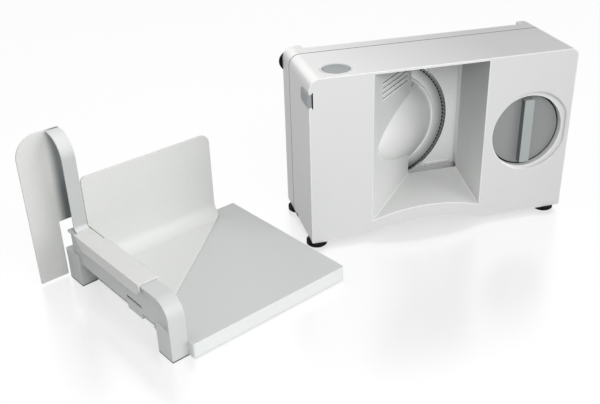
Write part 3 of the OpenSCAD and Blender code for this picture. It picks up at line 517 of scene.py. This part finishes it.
@dataclass(frozen=True)
class GuardSheet(LacqueredSheet):
    """The hand guard's sheet.

    The strap's painted shade, the painted light on its crown and the painted shadow strip on the plate behind
    it are fitted to the photograph's shading.
    """

    along: Triple = (1.0, 0.0, 0.0)
    across: Triple = (0.0, 1.0, 0.0)
    plate_at: float = 0.0
    side_at: float = 0.0
    strap_mm: Span = (3.0, 5.0)
    strap_shade_colour: str = "#b9bcbb"
    crown_rise: Span = (0.1, 0.8)
    crown_light_colour: str = "#d3d5d4"
    shadow_strip_mm: Span = (-20.0, -7.0)
    shadow_strip_colour: str = "#74797a"

    def pattern(self, skin: Skin, normal: Socket | None) -> None:
        """Adds the lacquer, the painted shadow strip on the plate and the strap's painted light and shade."""
        super().pattern(skin, normal)
        side = skin.dot(skin.place, self.across)
        skin.lay(self.shadow_strip_colour, skin.ramp_mm(side, self.shadow_strip_mm, base=self.side_at, smooth=True))
        upward = skin.ramp(skin.axis(skin.facing(), "Z"), *self.crown_rise)
        strap = skin.ramp_mm(skin.dot(skin.place, self.along), self.strap_mm, base=self.plate_at)
        skin.lay(skin.mix(upward, self.strap_shade_colour, self.crown_light_colour), strap)


@dataclass(frozen=True)
class MouldedRubber(Finish):
    """Moulded black rubber: dull, with a dusty bloom in its grain."""

    grain_mm: float = 1.2
    grain_depth_mm: float = 0.05
    grain_strength: float = 0.3
    bloom: float = 0.35

    def pattern(self, skin: Skin, normal: Socket | None) -> None:
        """Adds the bloom and the grain."""
        grain = skin.noise(self.grain_mm, 3.0)
        self.tint(skin, grain, self.bloom)
        skin.relief(grain, self.grain_depth_mm, self.grain_strength, normal)


@dataclass(frozen=True)
class TurnedMetal(Finish):
    """Lathe-turned metal: fine rings round the Y axis through its own centre."""

    centre: Triple = (0.0, 0.0, 0.0)
    ring_mm: float = 0.7
    ring_depth_mm: float = 0.02
    ring_strength: float = 0.2
    gloss_change: Span = (-0.08, 0.12)

    def radius(self, skin: Skin) -> Socket:
        """Gives the distance from the turning axis."""
        moved = skin.seen_from(self.centre)
        flat = add_node(skin.tree, "ShaderNodeCombineXYZ", X=skin.axis(moved, "X"), Z=skin.axis(moved, "Z"))
        return skin.length(flat.outputs[0])

    def pattern(self, skin: Skin, normal: Socket | None) -> None:
        """Adds the turning rings to the roughness and the bump."""
        rings = add_node(skin.tree, "ShaderNodeTexNoise", {"noise_dimensions": "1D"}, W=self.radius(skin),
                         Scale=1 / (self.ring_mm * MM), Detail=3.0).outputs[0]
        gloss = (self.roughness + change for change in self.gloss_change)
        skin.link(skin.ramp(rings, 0.0, 1.0, *gloss), "Roughness")
        skin.relief(rings, self.ring_depth_mm, self.ring_strength, normal)


@dataclass(frozen=True)
class GroundBlade(TurnedMetal):
    """Ground stainless steel with painted shade in its gullets and a thin bright cutting edge.

    The painted reflection, which runs from bright to grey along the radius, is fitted to the photograph's shading.
    """

    teeth: int = 96
    grind_mm: Span = (66.0, 84.8)
    grind_colours: tuple[str, str] = ("#f4f5f5", "#7a7e7f")
    cutting_mm: Span = (84.726, 84.8)
    cutting_colour: str = "#ffffff"
    gullet_mm: Span = (80.2, 82.0)
    gullet_share: float = 0.7
    gullet_shade_colour: str = "#050505"
    land_colour: str = "#9da1a2"

    def pattern(self, skin: Skin, normal: Socket | None) -> None:
        """Adds the grinding rings, the painted reflection along the radius, the cutting edge and the gullets'
        painted shade.
        """
        super().pattern(skin, normal)
        reach = self.radius(skin)
        skin.link(skin.mix(skin.ramp_mm(reach, self.grind_mm), *self.grind_colours), "Base Color")
        skin.lay(self.cutting_colour, skin.ramp_mm(reach, self.cutting_mm))
        moved = skin.seen_from(self.centre)
        angle = skin.maths("ARCTAN2", skin.axis(moved, "Z"), skin.axis(moved, "X"))
        step = skin.maths("FRACT", skin.maths("MULTIPLY", angle, self.teeth / math.tau))
        band = skin.maths("MULTIPLY", skin.maths("GREATER_THAN", reach, self.gullet_mm[0] * MM),
                          skin.maths("LESS_THAN", reach, self.gullet_mm[1] * MM))
        # The toothed band takes a flat grey on its lands and black in its gullets as painted shade.
        skin.lay(self.land_colour, band)
        gullet = skin.maths("LESS_THAN", step, self.gullet_share)
        skin.lay(self.gullet_shade_colour, skin.maths("MULTIPLY", band, gullet))


TEETH = 96
PARTING_Y = float(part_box("back_cover")[0].y)
BLADE_LOW, BLADE_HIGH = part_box("blade")
BLADE_CENTRE = tuple((BLADE_LOW + BLADE_HIGH) / 2)
DIAL_LOW, DIAL_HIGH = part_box("thickness_dial")
DIAL_AXIS = ((DIAL_LOW.x + DIAL_HIGH.x) / 2, DIAL_LOW.y, (DIAL_LOW.z + DIAL_HIGH.z) / 2)
RIGHT_WALL_X = 0.21675
SLANT_FACING = Vector((75.5, -76.0, 0.0)).normalized()
SLANT_POINT = Vector((0.0722485, 0.0226448, 0.0))
RECESS_WALLS = (ShadedWall((-1.0, 0.0, 0.0), -RIGHT_WALL_X, 0.75),
                ShadedWall(tuple(SLANT_FACING), SLANT_FACING.dot(SLANT_POINT), 0.4))

# Each edge colour below is a painted highlight along that finish's edges.
SHELL = HousingPlastic("moulded_abs_light_grey", "#d6d7d6", 0.42, 1.53, edge_mm=1.2, edge_highlight_colour="#fdfdfc",
                       highlight_mm=2.6, parting_mm=1.2, parting_y=PARTING_Y, mouth=DIAL_AXIS, walls=RECESS_WALLS)
COVER = MouldedPlastic("moulded_abs_mid_grey", "#b9bcba", 0.45, 1.53, edge_mm=1.0)
TABLE = MouldedPlastic("moulded_abs_table_grey", "#c6c9c8", 0.42, 1.53, edge_mm=1.0, edge_highlight_colour="#ececeb")
# PLATE's side colour is painted light on the table plate's upright faces.
PLATE = MouldedPlastic("moulded_abs_plate_grey", "#c6c9c8", 0.42, 1.53, edge_mm=1.0, edge_highlight_colour="#fafafa",
                       upright_shading_colour="#dde0df")
SWITCH = MouldedPlastic("moulded_abs_switch_grey", "#8f9495", 0.34, 1.53, edge_mm=0.5)
KEY = MouldedPlastic("moulded_abs_key_grey", "#8f9496", 0.34, 1.53, edge_mm=1.0, edge_highlight_colour="#d4d7d7")
RING = MouldedPlastic("moulded_abs_ring_grey", "#cfd0cf", 0.40, 1.53, edge_mm=0.4)
# BEAD's near-white, lighter than the housing's plastic, is a painted highlight on the blade guard ring.
BEAD = MouldedPlastic("moulded_abs_bead_painted_highlight", "#f4f4f3", 0.30, 1.53, edge_mm=0.3)
DIAL = GripPlastic("moulded_abs_dial_grey", "#8f9291", 0.36, 1.53, edge_mm=0.4, face_y=DIAL_AXIS[1])
LOCK = MouldedPlastic("moulded_abs_lock_grey", "#8d9193", 0.36, 1.53, edge_mm=0.4)
SHEET = LacqueredSheet("silver_lacquered_sheet", "#d6d7d5", 0.5, 1.5, edge_mm=0.9, edge_highlight_colour="#f4f4f3")
# STOP's cut colour is painted shade on the stop plate's cut edges.
STOP = LacqueredSheet("silver_lacquered_stop_plate", "#eeefee", 0.30, 1.5, edge_mm=0.3, cut_shade_colour="#4e5354")
STOP_EDGES = LacqueredSheet("silver_lacquered_stop_edges", "#eeefee", 0.30, 1.5, edge_mm=0.6)
RUBBER = MouldedRubber("moulded_black_rubber", "#030303", 0.6, 1.52, edge_mm=0.6, specular=0.15)
DARK = MouldedPlastic("moulded_dark_switch_body", "#303336", 0.5, 1.5, edge_mm=0.4)
ACETAL = MouldedPlastic("natural_acetal", "#e2dfd0", 0.4, 1.48, edge_mm=0.3)
STEEL = TurnedMetal("turned_bright_steel", "#b4b7b9", 0.3, metallic=1.0)
BRASS = TurnedMetal("turned_brass", "#b99a5b", 0.3, metallic=1.0)
SPINDLE = TurnedMetal("turned_spindle_steel", "#b4b7b9", 0.28, metallic=1.0, centre=BLADE_CENTRE)
WIRE = TurnedMetal("spring_steel", "#a9acae", 0.3, metallic=1.0)
BLADE = GroundBlade("ground_stainless_blade", "#d2d5d7", 0.45, metallic=1.0, centre=BLADE_CENTRE, teeth=TEETH)


def into_scene(made: bpy.types.Object) -> bpy.types.Object:
    """Links a new object to the scene and returns it."""
    bpy.context.scene.collection.objects.link(made)
    return made


def view_ray(azimuth_deg: float, elevation_deg: float) -> Vector:
    """Gives the direction in which a camera looks or a lamp shines.

    Args:
        azimuth_deg: Where it stands, from the front towards the right.
        elevation_deg: How high it stands.

    Returns:
        The unit vector away from it.
    """
    a, e = math.radians(azimuth_deg), math.radians(elevation_deg)
    return Vector((-math.sin(a) * math.cos(e), math.cos(a) * math.cos(e), -math.sin(e)))


def merged(node: str, apart_mm: float = 0.01) -> bmesh.types.BMesh:
    """Copies a CAD node's mesh and merges the corners that its faces share.

    Args:
        node: The CAD node's name.
        apart_mm: The distance up to which corners are merged.

    Returns:
        The copy.
    """
    bm = bmesh.new()
    bm.from_mesh(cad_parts[node].data)
    bmesh.ops.remove_doubles(bm, verts=bm.verts, dist=apart_mm * MM)
    return bm


def dressed(bm: bmesh.types.BMesh, piece: str, finish: Finish, crease: Crease) -> bpy.types.Object:
    """Turns a bmesh into an object with a finish, on no body yet.

    Args:
        bm: The shape, in metres in the model's frame. It is freed here.
        piece: The object's name.
        finish: The finish that it gets.
        crease: Which of its edges stay sharp.

    Returns:
        The new object.
    """
    mesh = bpy.data.meshes.new(piece)
    bm.to_mesh(mesh)
    bm.free()
    if "custom_normal" in mesh.attributes:
        mesh.attributes.remove(mesh.attributes["custom_normal"])
    mesh.shade_smooth()
    mesh.set_sharp_from_angle(angle=math.radians(crease.value))
    mesh.materials.append(finish.material())
    return into_scene(bpy.data.objects.new(piece, mesh))


def rounded_block(low: Vector, high: Vector, edge_mm: float) -> bmesh.types.BMesh:
    """Builds a box with rounded edges between two corners.

    Args:
        low: The lower corner.
        high: The upper corner.
        edge_mm: The rounding's width.

    Returns:
        The box.
    """
    bm = bmesh.new()
    bmesh.ops.create_cube(bm, size=1.0)
    bmesh.ops.scale(bm, verts=bm.verts, vec=high - low)
    bmesh.ops.translate(bm, verts=bm.verts, vec=(low + high) / 2)
    bmesh.ops.bevel(bm, geom=list(bm.edges), offset=edge_mm * MM, offset_type="OFFSET", segments=2, profile=0.5,
                    affect="EDGES", clamp_overlap=True, material=-1)
    return bm


def spun_ring(profile_mm: Profile, centre: Vector, start_deg: float, end_deg: float,
              steps: int) -> bmesh.types.BMesh:
    """Spins a closed profile round an axis along Y.

    Args:
        profile_mm: Distances from the axis, and depths along Y from the centre.
        centre: The axis's place.
        start_deg: The first end's angle, from +X towards +Z.
        end_deg: The last end's angle.
        steps: How many steps the spin takes.

    Returns:
        The ring, with closed ends.
    """
    bm = bmesh.new()
    face = bm.faces.new([bm.verts.new((r * MM, y * MM, 0.0)) for r, y in profile_mm])
    bmesh.ops.rotate(bm, verts=bm.verts, matrix=Matrix.Rotation(-math.radians(start_deg), 3, "Y"))
    whole = abs(end_deg - start_deg) >= 360.0
    bmesh.ops.spin(bm, geom=[face], cent=(0.0, 0.0, 0.0), axis=(0.0, -1.0, 0.0), dvec=(0.0, 0.0, 0.0),
                   angle=math.radians(end_deg - start_deg), steps=steps, use_merge=whole, use_duplicate=False)
    if whole:
        seams = [f for f in bm.faces if len(f.verts) == len(profile_mm) > 4]
        bmesh.ops.delete(bm, geom=seams, context="FACES_ONLY")
    bmesh.ops.remove_doubles(bm, verts=bm.verts, dist=0.001 * MM)
    bmesh.ops.translate(bm, verts=bm.verts, vec=centre)
    bmesh.ops.recalc_face_normals(bm, faces=bm.faces)
    return bm


@dataclass
class SubAssembly:
    """A group of pieces that share one CAD body."""

    body: str

    def paint(self, finish: Finish, *nodes: str) -> None:
        """Gives CAD nodes their finish.

        Args:
            finish: The finish that they get.
            *nodes: The CAD nodes' names.
        """
        for node in nodes:
            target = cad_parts[node]
            target.data.materials.clear()
            target.data.materials.append(finish.material())
            LOG.info("%s: %s", node, finish.name)

    def copy_of(self, finish: Finish, *nodes: str) -> None:
        """Replaces CAD nodes by merged copies of themselves with smooth curves.

        Args:
            finish: The finish that they get.
            *nodes: The CAD nodes' names.
        """
        for node in nodes:
            self.add(merged(node), f"{node}_skin", finish, (node,))

    def add(self, bm: bmesh.types.BMesh, piece: str, finish: Finish, nodes: tuple[str, ...] = (),
            crease: Crease = Crease.MOULDING) -> None:
        """Turns a bmesh into a dressed piece on this body.

        Args:
            bm: The shape, in metres in the model's frame. It is freed here.
            piece: The piece's name.
            finish: The finish that it gets.
            nodes: CAD nodes that it replaces.
            crease: Which of its edges stay sharp.
        """
        made = dressed(bm, piece, finish, crease)
        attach(made, self.body)
        if nodes:
            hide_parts(*nodes)
        LOG.info("%s: %s on %s", piece, finish.name, self.body)


@dataclass
class MotorHousing(SubAssembly):
    """The housing's two shells and what stays fixed in them."""

    body: str = "housing"
    guard_profile_mm: Profile = field(default_factory=lambda: [
        (52.0, -2.0), (62.8, -2.0), (63.3, -3.0), (64.0, -3.7), (64.9, -3.9), (65.8, -3.5), (66.6, -2.6),
        (67.2, -1.6), (67.5, -0.8), (52.0, -0.8)])
    guard_deg: Span = (-74.0, 76.0)
    gap_shadow_profile_mm: Profile = field(default_factory=lambda: [
        (45.7, 0.0), (46.4, -0.3), (47.0, -0.3), (47.4, 0.0), (47.4, 1.5), (45.7, 1.5)])
    gap_shadow_depth_mm: float = 9.2

    def build(self) -> None:
        """Dresses the shells, the feet and the fixed inner pieces."""
        self.copy_of(SHELL, "front_shell", "back_cover")
        self.copy_of(RING, "switch_ring")
        self.blade_guard_ring()
        self.dial_gap_shadow()
        self.copy_of(RUBBER, "bottom_feet", "back_feet")
        self.paint(RUBBER, "cord_gland")
        self.paint(DARK, "power_switch")
        self.paint(COVER, "gear_frame", "gear_cover_plate")
        self.paint(STEEL, "motor_can", "guide_rods", "cover_screws")
        self.paint(BRASS, "spindle_bushes", "shaft_bushes")

    def blade_guard_ring(self) -> None:
        """Builds the rounded ring beside the bulge, just in front of the blade; its near-white is a painted
        highlight.
        """
        axis = Vector((BLADE_CENTRE[0], BLADE_LOW.y, BLADE_CENTRE[2]))
        self.add(spun_ring(self.guard_profile_mm, axis, *self.guard_deg, steps=60), "blade_guard_ring", BEAD,
                 crease=Crease.BEAD)

    def dial_gap_shadow(self) -> None:
        """Builds a black ring in the gap round the dial's disc, as painted shade in that gap."""
        axis = Vector((DIAL_AXIS[0], DIAL_LOW.y + self.gap_shadow_depth_mm * MM, DIAL_AXIS[2]))
        self.add(spun_ring(self.gap_shadow_profile_mm, axis, 0.0, 360.0, steps=96), "dial_gap_shadow", RUBBER)


@dataclass
class Drive:
    """The motor's rotor and the layshaft."""

    def build(self) -> None:
        """Dresses the shafts and the gears."""
        rotor, lay = SubAssembly("motor_rotor"), SubAssembly("lay_rotor")
        rotor.paint(STEEL, "motor_shaft")
        rotor.paint(BRASS, "motor_pinion")
        lay.paint(STEEL, "layshaft")
        lay.paint(ACETAL, "layshaft_wheel", "layshaft_pinion")


@dataclass
class BladeGroup(SubAssembly):
    """The serrated blade with its gear, spindle and lock."""

    body: str = "blade_rotor"
    tooth_mm: float = 0.9
    toothed_from_mm: float = 84.0
    blade_profile_mm: Profile = field(default_factory=lambda: [
        (85.0, 0.25), (82.6, 0.14), (79.4, 0.04), (77.5, 0.0), (8.0, 0.0), (8.0, 1.5), (85.0, 1.5)])

    def build(self) -> None:
        """Dresses the blade as ground steel round its own axis, and the pieces that turn with it."""
        self.blade_disc(Vector((BLADE_CENTRE[0], BLADE_LOW.y, BLADE_CENTRE[2])))
        self.paint(ACETAL, "blade_gear")
        self.paint(SPINDLE, "blade_spindle")
        self.copy_of(LOCK, "blade_lock")

    def blade_disc(self, axis: Vector) -> None:
        """Builds the disc with its bevel and its fine teeth, one for every third corner of its outline.

        Args:
            axis: The centre of its front face.
        """
        bm = bmesh.new()
        count = 3 * TEETH
        loop = bmesh.ops.create_circle(bm, cap_ends=False, segments=count, radius=1.0)["verts"]
        bmesh.ops.rotate(bm, verts=loop, matrix=Matrix.Rotation(math.radians(90.0), 3, "X"))
        first = edges = list(bm.edges)
        for index, (r, y) in enumerate(self.blade_profile_mm):
            if index:
                grown = bmesh.ops.extrude_edge_only(bm, edges=edges)["geom"]
                loop = [g for g in grown if isinstance(g, bmesh.types.BMVert)]
                edges = [g for g in grown if isinstance(g, bmesh.types.BMEdge)
                         and g.verts[0] in loop and g.verts[1] in loop]
            for vert in loop:
                angle = math.atan2(vert.co.z, vert.co.x)
                step = round(angle / math.tau * count) % 3
                cut = self.tooth_mm if r > self.toothed_from_mm and step == 0 else 0.0
                vert.co = Vector((math.cos(angle) * (r - cut) * MM, y * MM, math.sin(angle) * (r - cut) * MM))
        bmesh.ops.bridge_loops(bm, edges=first + edges)
        bmesh.ops.translate(bm, verts=bm.verts, vec=axis)
        bmesh.ops.recalc_face_normals(bm, faces=bm.faces)
        self.add(bm, "blade_disc", BLADE, ("blade",), Crease.BLADE)


@dataclass
class DialGroup(SubAssembly):
    """The thickness dial and its cam drum."""

    body: str = "dial"

    def build(self) -> None:
        """Dresses the dial."""
        self.copy_of(DIAL, "thickness_dial")
        self.paint(ACETAL, "cam_drum")


@dataclass
class StopSlide(SubAssembly):
    """The stop plate with its bead, its flange and a black ring as painted shade in the gap round the blade."""

    body: str = "stop_slide"
    plate_t_mm: float = 2.5
    bead_x_mm: Span = (4.0, 38.5)
    bead_z_mm: Span = (2.6, 6.4)
    bead_t_mm: float = 1.3
    bead_sunk_mm: float = 0.1
    flange_x_mm: Span = (220.4, 221.4)
    flange_z_mm: Span = (44.0, 209.0)
    flange_reach_mm: float = 16.3
    flange_sunk_mm: float = 0.3
    blade_gap_shadow_mm: Profile = field(default_factory=lambda: [
        (85.2, -1.4), (85.95, -1.4), (85.95, -0.1), (85.2, -0.1)])
    blade_gap_shadow_deg: float = 49.0

    def build(self) -> None:
        """Dresses the plate and adds its thin forms."""
        self.copy_of(STOP, "stop_plate")
        low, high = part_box("stop_plate")
        self.bead(low, high.y - self.plate_t_mm * MM)
        self.flange(high.y - (self.plate_t_mm - self.flange_sunk_mm) * MM)
        self.blade_gap_shadow(high.y)

    def bead(self, low: Vector, front: float) -> None:
        """Builds the stiffening bead along the plate's lower edge.

        Args:
            low: The plate's lower corner.
            front: The depth of the plate's front face.
        """
        (x0, x1), (z0, z1) = self.bead_x_mm, self.bead_z_mm
        bm = rounded_block(
            Vector((low.x + x0 * MM, front - (self.bead_t_mm - self.bead_sunk_mm) * MM, low.z + z0 * MM)),
            Vector((low.x + x1 * MM, front + self.bead_sunk_mm * MM, low.z + z1 * MM)), edge_mm=0.4)
        self.add(bm, "stop_plate_bead", STOP_EDGES)

    def flange(self, back: float) -> None:
        """Builds the bent flange that closes the gap between the plate and the recess's right wall.

        Args:
            back: The depth of its back end, inside the plate.
        """
        (x0, x1), (z0, z1) = self.flange_x_mm, self.flange_z_mm
        bm = rounded_block(Vector((x0 * MM, back - self.flange_reach_mm * MM, z0 * MM)),
                           Vector((x1 * MM, back, z1 * MM)), edge_mm=0.25)
        self.add(bm, "stop_plate_flange", STOP_EDGES)

    def blade_gap_shadow(self, back: float) -> None:
        """Builds a black ring on the plate's round edge, which closes the gap round the blade as painted shade
        there.

        Args:
            back: The depth of the plate's back face.
        """
        axis = Vector((BLADE_CENTRE[0], back, BLADE_CENTRE[2]))
        bm = spun_ring(self.blade_gap_shadow_mm, axis, -self.blade_gap_shadow_deg, self.blade_gap_shadow_deg, steps=60)
        self.add(bm, "stop_plate_blade_gap_shadow", RUBBER)


@dataclass
class Controls:
    """The switch button with its spring, and the lock key."""

    lip_inset_mm: float = 0.3
    shadow_width_mm: float = 1.3
    shadow_proud_mm: float = 0.2
    shadow_depth_mm: float = 1.2

    def build(self) -> None:
        """Dresses the small moving pieces on their bodies."""
        SubAssembly("button").copy_of(SWITCH, "switch_button")
        self.return_spring()
        key = SubAssembly("key")
        key.copy_of(KEY, "lock_key")
        self.key_gap_shadow(key)

    def return_spring(self) -> None:
        """Replaces the button's spring by a smooth copy that stays fixed where it is, on no body."""
        fine = merged("button_spring", apart_mm=0.001)
        spring = dressed(fine, "button_spring_skin", WIRE, Crease.WIRE)
        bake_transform(spring)
        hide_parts("button_spring")

    def key_gap_shadow(self, key: SubAssembly) -> None:
        """Builds a black strip at the lock key's inner end, as painted shade in the gap beside the key.

        Args:
            key: The body that carries the key.
        """
        low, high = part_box("lock_key")
        inset, front = self.lip_inset_mm * MM, low.y - self.shadow_proud_mm * MM
        bm = rounded_block(Vector((high.x - inset - self.shadow_width_mm * MM, front, low.z + inset)),
                           Vector((high.x - inset, front + self.shadow_depth_mm * MM, high.z - inset)), edge_mm=0.1)
        key.add(bm, "lock_key_gap_shadow", RUBBER)


@dataclass
class FeedTable(SubAssembly):
    """The table plate with its rail and legs, and the catch that sits beside the rail."""

    body: str = "table"

    def build(self) -> None:
        """Dresses the catch, the plate, the rail and the pads."""
        SubAssembly("catch").copy_of(TABLE, "carriage_catch")
        self.copy_of(PLATE, "table_plate")
        self.copy_of(TABLE, "slide_rail", "rear_leg")
        self.paint(RUBBER, "leg_pads", "table_feet")


@dataclass
class Carriage(SubAssembly):
    """The food carriage and its hand guard."""

    body: str = "carriage_unit"
    yaw_deg: float = -63.7

    def build(self) -> None:
        """Dresses the bent sheets."""
        self.copy_of(SHEET, "carriage")
        turn = math.radians(self.yaw_deg)
        along = Vector((math.cos(turn), math.sin(turn), 0.0))
        across = Vector((-math.sin(turn), math.cos(turn), 0.0))
        corners = [v.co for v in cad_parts["hand_guard"].data.vertices]
        # The guard's edge colour is a painted highlight, and its strap and plate carry painted light and shade.
        guard = GuardSheet("silver_lacquered_guard", "#d6d7d5", 0.5, 1.5, edge_mm=0.9, edge_highlight_colour="#f4f4f3",
                           along=tuple(along), across=tuple(across), plate_at=min(c @ along for c in corners),
                           side_at=max(c @ across for c in corners))
        self.copy_of(guard, "hand_guard")


@dataclass(frozen=True)
class SunLamp:
    """A far lamp; its level is a share of plain white."""

    name: str
    azimuth_deg: float
    elevation_deg: float
    level: float
    softness_deg: float


@dataclass(frozen=True)
class SoftBox:
    """A near square lamp; its level at the aim is a share of plain white."""

    name: str
    place: Triple
    aim: Triple
    size: float
    level: float


@dataclass
class Studio:
    """A pale glossy floor, a white world and soft lamps."""

    floor_size: float = 14.0
    floor_colour: str = "#ececec"
    floor_seen_colour: str = "#6a6a6a"
    floor_glow: float = 0.88
    mirror_roughness: float = 0.24
    mirror_share: float = 0.24
    world_strength: float = 0.36
    suns: tuple[SunLamp, ...] = (SunLamp("right_key", 58.0, 22.0, 0.34, 40.0),
                                 SunLamp("left_fill", -115.0, 30.0, 0.11, 60.0))
    boxes: tuple[SoftBox, ...] = (SoftBox("front_box", (0.0, -0.80, 0.78), (0.06, 0.0, 0.12), 0.45, 0.45),
                                  SoftBox("left_box", (-0.30, 0.0, 0.80), (0.0, 0.05, 0.20), 0.35, 0.29))

    def build(self) -> None:
        """Makes the floor, the world and the lamps."""
        bm = bmesh.new()
        bmesh.ops.create_grid(bm, x_segments=1, y_segments=1, size=self.floor_size / 2)
        mesh = bpy.data.meshes.new("floor")
        bm.to_mesh(mesh)
        bm.free()
        mesh.materials.append(self.floor_material())
        floor = into_scene(bpy.data.objects.new("floor", mesh))
        self.world()
        for sun in self.suns:
            data = self.lamp(sun.name, "SUN", view_ray(sun.azimuth_deg, sun.elevation_deg))
            data.energy, data.angle = sun.level * math.pi, math.radians(sun.softness_deg)
        for box in self.boxes:
            ray = Vector(box.aim) - Vector(box.place)
            data = self.lamp(box.name, "AREA", ray, box.place)
            data.size, data.energy = box.size, box.level * math.pi ** 2 * ray.length_squared

    def lamp(self, name: str, kind: str, ray: Vector, place: Triple = (0.0, 0.0, 0.0)) -> bpy.types.Light:
        """Makes a lamp that shines along a ray.

        Args:
            name: The lamp's name.
            kind: Blender's name of its kind.
            ray: The direction in which it shines.
            place: Its centre.

        Returns:
            The lamp's data.
        """
        data = bpy.data.lights.new(name, kind)
        lamp = into_scene(bpy.data.objects.new(name, data))
        lamp.location = place
        lamp.rotation_mode = "QUATERNION"
        lamp.rotation_quaternion = ray.to_track_quat("-Z", "Y")
        return data

    def floor_material(self) -> bpy.types.Material:
        """Builds the floor: polished white, bright where the camera sees it away from the object."""
        made = bpy.data.materials.new("polished_white_floor")
        made.use_nodes = True
        tree = made.node_tree
        tree.nodes.clear()
        white = linear("#ffffff")
        sheet = add_node(tree, "ShaderNodeBsdfDiffuse", Color=linear(self.floor_colour))
        dim = add_node(tree, "ShaderNodeBsdfDiffuse", Color=linear(self.floor_seen_colour))
        glow = add_node(tree, "ShaderNodeEmission", Color=white, Strength=self.floor_glow)
        lit = add_node(tree, "ShaderNodeAddShader", in_0=dim.outputs[0], in_1=glow.outputs[0])
        mirror = add_node(tree, "ShaderNodeBsdfGlossy", Color=white, Roughness=self.mirror_roughness)
        seen = add_node(tree, "ShaderNodeMixShader", in_0=self.mirror_share, in_1=lit.outputs[0],
                        in_2=mirror.outputs[0])
        ray = add_node(tree, "ShaderNodeLightPath")
        out = add_node(tree, "ShaderNodeMixShader", in_0=ray.outputs["Is Camera Ray"], in_1=sheet.outputs[0],
                       in_2=seen.outputs[0])
        add_node(tree, "ShaderNodeOutputMaterial", Surface=out.outputs[0])
        return made

    def world(self) -> None:
        """Sets a soft white world that the camera and mirrors see as plain white."""
        world = bpy.data.worlds.new("studio")
        bpy.context.scene.world = world
        world.use_nodes = True
        tree = world.node_tree
        tree.nodes.clear()
        ray = add_node(tree, "ShaderNodeLightPath").outputs
        seen = ray["Is Camera Ray"]
        for kind in ("Is Glossy Ray", "Is Transmission Ray"):
            seen = add_node(tree, "ShaderNodeMath", {"operation": "MAXIMUM"}, in_0=seen, in_1=ray[kind]).outputs[0]
        level = add_node(tree, "ShaderNodeMapRange", Value=seen, To_Min=self.world_strength, To_Max=1.0)
        sky = add_node(tree, "ShaderNodeBackground", Color=linear("#ffffff"), Strength=level.outputs[0])
        add_node(tree, "ShaderNodeOutputWorld", Surface=sky.outputs[0])


@dataclass
class PhotoCamera:
    """The camera as fitted to the object's straight edges."""

    place: Triple = (-0.23065, -0.83006, 0.5459)
    azimuth_deg: float = -13.85
    elevation_deg: float = 28.57
    roll_rad: float = -0.0325
    focal_px: float = 828.9
    width_px: float = 600.0
    sensor_mm: float = 36.0
    clip: Span = (0.01, 100.0)

    def build(self) -> None:
        """Makes the camera and sets it as the scene's."""
        ahead = view_ray(self.azimuth_deg, self.elevation_deg)
        right = ahead.cross(Vector((0.0, 0.0, 1.0))).normalized()
        up = right.cross(ahead)
        tilted = right * math.cos(self.roll_rad) + up * math.sin(self.roll_rad)
        upright = tilted.cross(ahead)
        data = bpy.data.cameras.new("photo_camera")
        data.sensor_width = self.sensor_mm
        data.lens = self.focal_px / self.width_px * self.sensor_mm
        data.clip_start, data.clip_end = self.clip
        camera = into_scene(bpy.data.objects.new("photo_camera", data))
        camera.matrix_world = Matrix.Translation(Vector(self.place)) @ Matrix(
            (tilted, upright, -ahead)).transposed().to_4x4()
        bpy.context.scene.camera = camera


def main() -> None:
    """Builds the camera, the dressed pieces and the studio."""
    logging.basicConfig(level=logging.INFO, format="%(name)s: %(message)s")
    for part in (PhotoCamera(), MotorHousing(), Drive(), BladeGroup(), DialGroup(), Controls(), StopSlide(),
                 FeedTable(), Carriage(), Studio()):
        part.build()
    bpy.context.scene.view_settings.view_transform = "Standard"


if __name__ == "__main__":
    main()
